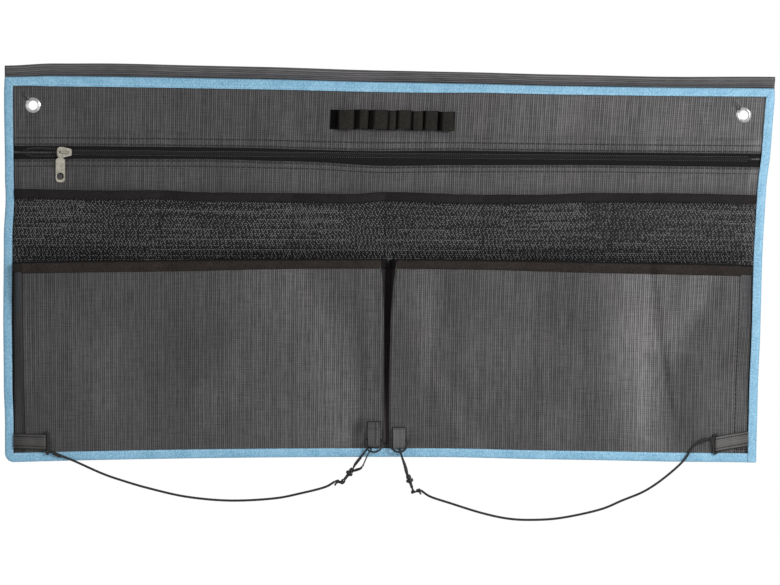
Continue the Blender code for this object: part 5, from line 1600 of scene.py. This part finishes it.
def net():
    """Hexagonal net of fine thread, sewn down between its pockets."""
    low, high = NET_BOTTOM, NET_HEM_TOP - LAYER
    columns = int(2 * NET_END / (NET_CELL * math.sqrt(3)))
    rows = int((high - low) / (NET_CELL * 1.5))
    wide, rise = 2 * NET_END / columns, (high - low) / rows
    spread = random.Random(11)
    spots = {}

    def spot(column, row, end):
        key = (column, row, end)
        if key not in spots:
            u = -NET_END + (column + row % 2 / 2) * wide
            w = low + row * rise + end * rise / 3
            u = min(max(u + spread.gauss(0, NET_JITTER), -NET_END), NET_END)
            w = min(w + spread.gauss(0, NET_JITTER), high)
            point = hang(u, net_depth(u, w), w)
            point.z += net_height(u, w)
            spots[key] = (tuple(point), (u, w))
        return spots[key]

    threads = []
    for row in range(rows + 1):
        for column in range(columns + 1 - row % 2):
            above = (spot(column, row, 0), spot(column, row, 1))
            threads.append(above)
            for other in (column - 1 + row % 2, column + row % 2):
                if row < rows and 0 <= other < columns + row % 2:
                    threads.append((above[1], spot(other, row + 1, 0)))
    chains = np.array([[a[0], b[0]] for a, b in threads])
    points, faces, _ = tube_arrays(chains, NET_YARN, 3, (0, -1, 0))
    flat = np.repeat(np.array([[a[1], b[1]] for a, b in threads]).reshape(-1, 2), 3, axis=0)
    mesh = woven_mesh("net_cloth", points.tolist(), faces, flat)
    # Painted highlight: threads of one slant, picked by noise and more of them to the right, take the
    # lighter glint finish
    lit = []
    for (_, (u, w)), (_, (other_u, _)) in threads:
        slant = other_u - u
        way = rough((u * 14, w * 18, 2.0), 1.0) + 0.02 + 0.5 * u
        lit += [int(abs(slant) > 0.0003 and (slant * way > 0 or way > 0.16))] * 5
    made = piece("net_cloth", mesh, NET_BLACK, "panel", "net", "mesh_strip")
    mesh.materials.append(NET_PAINTED_GLINT)
    mesh.polygons.foreach_set("material_index", lit)


def hem_grid(across, top, depth, width, room, lift=None, wander=0.0, wider=0.0):
    """A tape folded over a sheet's top edge, with a soft fold."""
    section = [
        (-width * down, -room - bulge) for down, bulge in
        ((1.0, 0.0), (0.85, 0.00018), (0.5, 0.0003), (0.18, 0.00021))
    ]
    section += [(0.7 * room * math.cos(a), room * math.sin(a)) for a in turns(-90, 90, 22)]
    section += [(-width * 0.5, room), (-width, room)]
    grid = []
    for far, (rise, forward) in measured(section):
        row = []
        for u in across:
            w = top(u) + rise * (1 + wider * ease(abs(u), 0.1, 0.3) * (rise < 0))
            sway = rough((u * 70, rise * 60, 6.0), 0.0003)
            point = hang(u, depth(u, min(w, top(u))) + forward + sway, w)
            point.z += rough((u * 60, 0.0, 4.0 + wander), 0.00035)
            if lift:
                point.z += lift(u, w)
            row.append((point, (far, u)))
        grid.append(row)
    return grid


def net_tape():
    """The tape along the net's mouth, its stitches and the seams between the pockets."""
    room = NET_THREAD / 2 + GAP + CLOTH / 2
    grid = hem_grid(
        steps_between(-NET_END, NET_END, 420), lambda u: NET_HEM_TOP, net_depth, NET_HEM_WIDTH,
        room, net_height,
    )
    cloth(
        "net_tape", grid, NET_TAPE, "hem_tape", "mesh_hem",
    )
    chains = []
    for off in (0.0013, NET_HEM_WIDTH - 0.0013):
        line = [
            (u, NET_HEM_TOP - off + net_height(u, NET_HEM_TOP))
            for u in steps_between(-0.482, 0.482, 240)
        ]
        chains += stitch_chains(
            line, lambda u, w: net_depth(u, w) - room - 0.0002, 0.0031, rise=0.0003,
        )
    for seam in (divider + off for divider in NET_DIVIDERS for off in (-0.0006, 0.0006)):
        line = [(seam, w) for w in steps_between(NET_BOTTOM, NET_HEM_TOP - 0.001, 20)]
        chains += stitch_chains(line, lambda u, w: net_depth(u, w) - 0.0002, 0.0026, 0.66, 0.0004)
    stitches("net_stitches", chains, THREAD_BLACK, "hem_tape", 0.00024)


net()
net_tape()


# Lower pockets

HEM_SHARE = POCKET_HEM_WIDTH / (POCKET_MOUTH - POCKET_SEAM)
HEM_SEAMS = (0.0014, POCKET_HEM_WIDTH - 0.0016)


def flipped(grid, flip):
    """A grid with its columns the other way round where flip is true."""
    return [row[::-1] for row in grid] if flip else grid


class Pocket:
    """One lower pocket, left for side -1 and right for side 1."""

    def __init__(self, side, word):
        self.side, self.word = side, word
        self.reach = BINDING_INNER - (OUTER_GUSSET_LEFT if side < 0 else OUTER_GUSSET_RIGHT)
        self.width = abs(self.spot(0, 1)[0] - self.spot(0, 0)[0])

    def spot(self, share, part):
        """Flat spot at a share of the way down and a part of the way out."""
        top = mouth_height(part * HALF_WIDTH) - 2 * GAP
        w = top + (POCKET_SEAM - top) * share
        inner = CENTRE_SEAM + self.side * centre_gap(0.0, w)
        return inner + (self.side * self.reach - inner) * part, w

    def front(self):
        """The front and the tape on its mouth."""
        parts = steps_between(0.0, 1.0, 110)
        grid = []
        for share in (None, *steps_between(1.0, 0.1, 60), *steps_between(0.09, 0.0, 6)):
            row = []
            for part in parts:
                u, w = self.spot(1.0 if share is None else share, part)
                w = SHEET_BOTTOM if share is None else w
                flat_u, flat_w = pulled_corner(u, w)
                row.append((hang(flat_u, front_depth(u, w), flat_w), (u, w)))
            grid.append(row)
        cloth(
            "pocket_cloth_" + self.word, flipped(grid, self.side < 0), GREY_POCKET,
            "ribbed_fabric", f"pocket_{self.word}_front",
            # Painted sheen bands and painted shadows on the pocket's front
            painted_light=lambda u, w: painted_light_at(u, w, POCKET_PAINTED_BANDS),
        )
        across = sorted(self.spot(0.0, part)[0] for part in steps_between(0.0, 1.0, 240))
        grid = hem_grid(
            across, mouth_height, front_depth, POCKET_HEM_WIDTH, LAYER, None, self.side, 0.18,
        )
        cloth(
            "pocket_tape_" + self.word, grid, HEM_TAPE, "hem_tape", f"pocket_{self.word}_hem",
        )
        chains = []
        for off in HEM_SEAMS:
            line = [(u, mouth_height(u) - off) for u in across[3:-3]]
            chains += stitch_chains(
                line, lambda u, w: front_depth(u, w) - LAYER - 0.00022, 0.0032, rise=0.0003,
            )
        stitches("pocket_stitches_" + self.word, chains, THREAD_BLACK, "hem_tape", 0.00022)

    def side_spot(self, part, share, out_share, out=0.0, rise=0.0):
        """A point of a side, from its root to the front's edge, and the side's depth there."""
        inward = -self.side if part else self.side
        u, w = self.spot(share, part)
        behind = CLOTH + 2 * GAP + LAYER * (1 - ease(share, HEM_SHARE, HEM_SHARE + 0.01))
        rooted = ease(w, ZIP_POCKET_BOTTOM - 0.010, ZIP_POCKET_BOTTOM - 0.001)
        root_u = CENTRE_SEAM + self.side * (CENTRE_GAP_LOW - CLOTH)
        if part:
            root_u = self.side * (BINDING_INNER - CLOTH / 2 - 2 * GAP)
        root = hang(root_u, BACK_PANEL - LAYER + (POCKET_EDGE - BACK_PANEL) * rooted, w)
        run = hang(u + inward * CLOTH, front_depth(u, w) + behind, w) - root
        spot = root + run * out_share
        sag = math.sin(math.pi * out_share) * rough((share * 5, self.side, part), 0.0012)
        spot.x += sag * (1 if part else 0.5)
        away = Vector((run.y, -run.x, 0)).normalized() * (1 if run.x > 0 else -1)
        return spot + away * out + Vector((0, 0, rise)), run.length

    def gusset(self, place, part):
        """One side of the pocket, with the end of the mouth's tape folded over it."""
        inward = -self.side if part else self.side
        grid = []
        for share in steps_between(0.985, 0.0, 50):
            w = self.spot(share, part)[1]
            row = []
            if not part:
                root = self.side_spot(part, share, 0.0)[0]
                seam = Vector((self.side * (CENTRE_GAP_LOW - CLOTH - GAP), 0, 0))
                row.append((root - seam, (-CENTRE_GAP_LOW, w)))
            for out_share in steps_between(0.0, 1.0, 10):
                spot, run = self.side_spot(part, share, out_share)
                row.append((spot, (out_share * run, w)))
            grid.append(row)
        # The left outer side takes the painted-shade copy of the pockets' grey
        finish = (GREY_POCKET if self.side > 0 else SHADED_POCKET_GREY) if part else BLACK_CLOTH
        name = f"pocket_side_{self.word}_{place}"
        cloth(
            name, flipped(grid, inward < 0), finish,
            "ribbed_fabric" if finish is GREY_POCKET else "black_fabric",
            f"pocket_{self.word}_gusset_{place}",
        )
        section = [(k / 6, 1) for k in range(6, -1, -1)] + [(0.0, 0)] + [(k / 4, -1) for k in range(5)]
        grid, far = [], 0.0
        for share, out in section:
            if grid:
                far += POCKET_HEM_WIDTH / 6 if out else LAYER * 0.8
            row = []
            for out_share in steps_between(0.02, 0.98, 14):
                rise = 0.0 if out else LAYER * 0.6
                spot, run = self.side_spot(
                    part, HEM_SHARE * share, out_share, out * LAYER * 0.9, rise,
                )
                row.append((spot, (far, out_share * run)))
            grid.append(row)
        cloth(
            f"pocket_tape_{self.word}_{place}", flipped(grid, inward < 0),
            HEM_TAPE if part else NET_TAPE, "hem_tape", None,
        )

    def edge_stitches(self):
        """The seams that hold the front to its sides."""
        chains = []
        for part, pitch, share, rise in ((1.0, 0.0042, 0.6, 0.0004), (0.0, 0.0031, 0.62, 0.00028)):
            off = self.side * (-0.0016 if part else 0.0016)
            spots = (self.spot(down, part) for down in steps_between(0.97, HEM_SHARE + 0.002, 60))
            chains += stitch_chains([(u + off, w) for u, w in spots], front_depth, pitch, share, rise)
        stitches(
            "pocket_edge_stitches_" + self.word, chains, THREAD_BLACK, "ribbed_fabric", 0.0003,
        )


for pocket in (Pocket(-1, "left"), Pocket(1, "right")):
    pocket.front()
    pocket.gusset("inner", 0.0)
    pocket.gusset("outer", 1.0)
    pocket.edge_stitches()


# Tabs and rings

# Painted light on the right tabs and painted shade on the left ones, and a ring tab's dark and pale
# seam as shares of its width
TAB_PAINTED_LIGHT = 0.2
TAB_SEAMS = {"left": (0.11, 0.24), "right": (-0.45, -0.33)}


def corner_tab(word):
    """The tab folded round the cord loop at a corner."""
    tab = corners[word]
    side, front = tab.side, tab.back - LAYER
    far_back = tab.back - 2 * tab.bend

    def face(u):
        """Depth of the tab's front, which closes from the fold to where it is sewn down."""
        share = min(max((tab.turn_u - u) / (tab.turn_u - tab.sewn_u), 0.0), 1.0)
        return front + (far_back - front) * (1 - ease(share, 0.0, 1.0))

    path = [(u, tab.back) for u in (tab.root_u, *steps_between(tab.sewn_u, tab.turn_u, 5))]
    path += [
        (tab.turn_u - side * tab.bend * math.sin(a), tab.centre_y + tab.bend * math.cos(a))
        for a in turns(15, 165, 15)
    ]
    path += [(u, face(u)) for u in (*steps_between(tab.turn_u, tab.sewn_u, 8), tab.root_u)]
    span = abs(tab.root_u - tab.fold_u)

    def middle_w(u):
        return tab.free_w + (tab.root_w - tab.free_w) * abs(u - tab.fold_u) / span

    grid = []
    for end in steps_between(-0.5, 0.5, 12):
        row = []
        for far, (u, y) in measured(path):
            soft = rough((far * 90, end * 4, 1.0 + side), 0.0003)
            fray = rough((far * 160, end, 7.0), 0.0003) * (abs(end) > 0.45)
            point = hang(u, y + soft, middle_w(u) + end * CORNER_TAB_HEIGHT + fray)
            row.append((point, (end * CORNER_TAB_HEIGHT, far)))
        grid.append(row)
    cloth(
        "tab_cloth_" + word, flipped(grid, side > 0), GREY_TAB, "ribbed_fabric",
        "tab_corner_" + word,
        # Painted light on the right tab, painted shade on the left
        painted_light=lambda u, w: TAB_PAINTED_LIGHT * side,
    )
    chains = []
    for up in (-CORNER_TAB_SEAM, CORNER_TAB_SEAM):
        line = [(u, middle_w(u) + up) for u in steps_between(tab.root_u, tab.turn_u, 20)]
        chains += stitch_chains(line, lambda u, w: face(u) - 0.0001, 0.003, 0.62)
    stitches("tab_stitches_" + word, chains, THREAD_BLACK, "ribbed_fabric")


def centre_tab(word):
    """A tab folded round its ring, and the ring."""
    tab_u, top_w, bottom_w = CENTRE_TABS[word]
    half = CENTRE_TAB_WIDTH / 2
    drop = RING_RADIUS - math.sqrt(RING_RADIUS ** 2 - half ** 2)
    room = 2 * RING_WIRE + 2 * GAP + (drop + RING_WIRE) * math.sin(RING_TILT)
    bend = (room + CLOTH) / 2

    def back(w):
        return min(pocket_depth(tab_u, w), BINDING_FRONT) - LAYER

    fold_w, fold_y = bottom_w + CLOTH / 2 + bend, back(bottom_w + CLOTH / 2 + bend)
    pinch = RING_TOP + 0.009
    path = [
        (back(top_w) - LAYER, top_w), (back(top_w) - LAYER - CLOTH, pinch),
        (back(RING_TOP) - 1.6 * bend, RING_TOP + RING_WIRE + 0.003),
        (back(RING_TOP) - 2 * bend, RING_TOP + RING_WIRE), (fold_y - 2 * bend, fold_w),
    ]
    path += [
        (fold_y - bend + bend * math.cos(a), fold_w - bend * math.sin(a))
        for a in turns(160, 20, -20)
    ]
    path += [(back(w), w) for w in (fold_w, RING_TOP, pinch, (top_w + pinch) / 2, top_w)]
    grid = []
    for far, (y, w) in measured(path):
        row = []
        for share in steps_between(-1.0, 1.0, 12):
            soft = rough((share * 1.5, far * 90, tab_u * 40), 0.00025)
            row.append((hang(tab_u + share * half, y + soft, w), (share * half, far)))
        grid.append(row)
    # Painted light on the right ring tab, painted shade on the left
    painted_light = TAB_PAINTED_LIGHT if word == "right" else -TAB_PAINTED_LIGHT
    cloth(
        "ring_tab_" + word, grid, GREY_RING_TAB, "ribbed_fabric", "tab_centre_" + word,
        painted_light=lambda u, w: painted_light,
    )

    def pinched(u, w):
        return back(top_w) - LAYER - CLOTH * (1 - ease(w, pinch, top_w)) - 0.0001

    def front(u, w):
        for (y, start), (y_end, end) in zip(path, path[1:]):
            if end <= w <= start:
                return y + (y_end - y) * (start - w) / max(start - end, 1e-9) - 0.0001
        return path[0][0]

    dark, pale = [], []
    for w in (pinch - 0.0004, pinch + 0.0016):
        line = [(tab_u + share * (half - 0.001), w) for share in steps_between(-1, 1, 6)]
        dark += stitch_chains(line, pinched, 0.0024, 0.62)
    for place, chains, share in zip(TAB_SEAMS[word], (dark, pale), (0.62, 0.86)):
        u = tab_u + place * CENTRE_TAB_WIDTH
        line = [(u, w) for w in steps_between(top_w - 0.001, fold_w, 16)]
        chains += stitch_chains(line, front, 0.0026, share)
    stitches("ring_tab_stitches_" + word, dark, THREAD_BLACK, "ribbed_fabric", 0.0003)
    stitches("ring_tab_seam_" + word, pale, THREAD_GREY, "ribbed_fabric", 0.00034)
    middle, tilt = ring_place(word)
    ring = rod(
        [middle + tilt @ spot for spot in circle(RING_RADIUS, 72)], RING_WIRE + 0.0001, 20,
        tilt @ Vector((0, 1, 0)), closed=True,
    )
    piece("ring_wire_" + word, ring, BLACK_METAL, "panel", "black_metal", "ring_" + word)


for tab_side in ("left", "right"):
    corner_tab(tab_side)
    centre_tab(tab_side)


# Zip slider and pull keep the part's own form

for node in ("zip_slider", "zip_pull"):
    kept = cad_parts[node]
    kept.data.materials.clear()
    kept.data.materials.append(NICKEL)


# Studio

WHITE = (1.0, 1.0, 1.0)
SKY_STRENGTH = 0.335
FLOOR_GLOW = 0.32
FLOOR_UP = -0.95
FLOOR_RADIUS = 2.2
LAMP_AIM = Vector((0.0, 0.0, -0.3))
# Name, place, size in metres and power in watts
LAMPS = (("key", (1.45, -1.9, 0.35), 0.8, 52.0), ("fill", (-1.6, -2.4, 0.4), 1.6, 12.0))


def studio():
    """Pale floor far below, even sky that shows white, and two soft lamps."""
    scene.world = bpy.data.worlds.new("studio")
    scene.world.use_nodes = True
    tree = scene.world.node_tree
    rays = tree.nodes.new("ShaderNodeLightPath").outputs
    seen = put(tree, "Math", rays["Is Camera Ray"], rays["Is Glossy Ray"], operation="MAXIMUM")
    seen = put(tree, "Math", seen, rays["Is Transmission Ray"], operation="MAXIMUM")
    lit = put(tree, "Background", WHITE, SKY_STRENGTH)
    sky = put(tree, "MixShader", seen, lit, put(tree, "Background", WHITE, 1.0))
    tree.links.new(sky, tree.nodes["World Output"].inputs["Surface"])
    for name, spot, size, power in LAMPS:
        lamp = bpy.data.lights.new(name, "AREA")
        lamp.shape, lamp.size, lamp.energy = "DISK", size, power
        holder = bpy.data.objects.new(name, lamp)
        holder.location = spot
        holder.rotation_euler = (LAMP_AIM - Vector(spot)).to_track_quat("-Z", "Y").to_euler()
        scene.collection.objects.link(holder)
    one = Finish("floor", 0.75, 0.2, solid=True)
    grain = one.speckle(one.where, 6.0, 4.0)
    colour = one.blended(grain, (0.80, 0.80, 0.80), (0.86, 0.86, 0.86))
    finish = one.dress(colour, None, grain, 0.05, 0.001)
    one.shader.inputs["Emission Color"].default_value = (*WHITE, 1.0)
    one.shader.inputs["Emission Strength"].default_value = FLOOR_GLOW
    form = bmesh.new()
    bmesh.ops.create_circle(form, cap_ends=True, segments=96, radius=FLOOR_RADIUS)
    mesh = bpy.data.meshes.new("floor")
    form.to_mesh(mesh)
    form.free()
    mesh.materials.append(finish)
    floor = bpy.data.objects.new("floor", mesh)
    floor.location = (0.0, 0.0, FLOOR_UP)
    scene.collection.objects.link(floor)


studio()
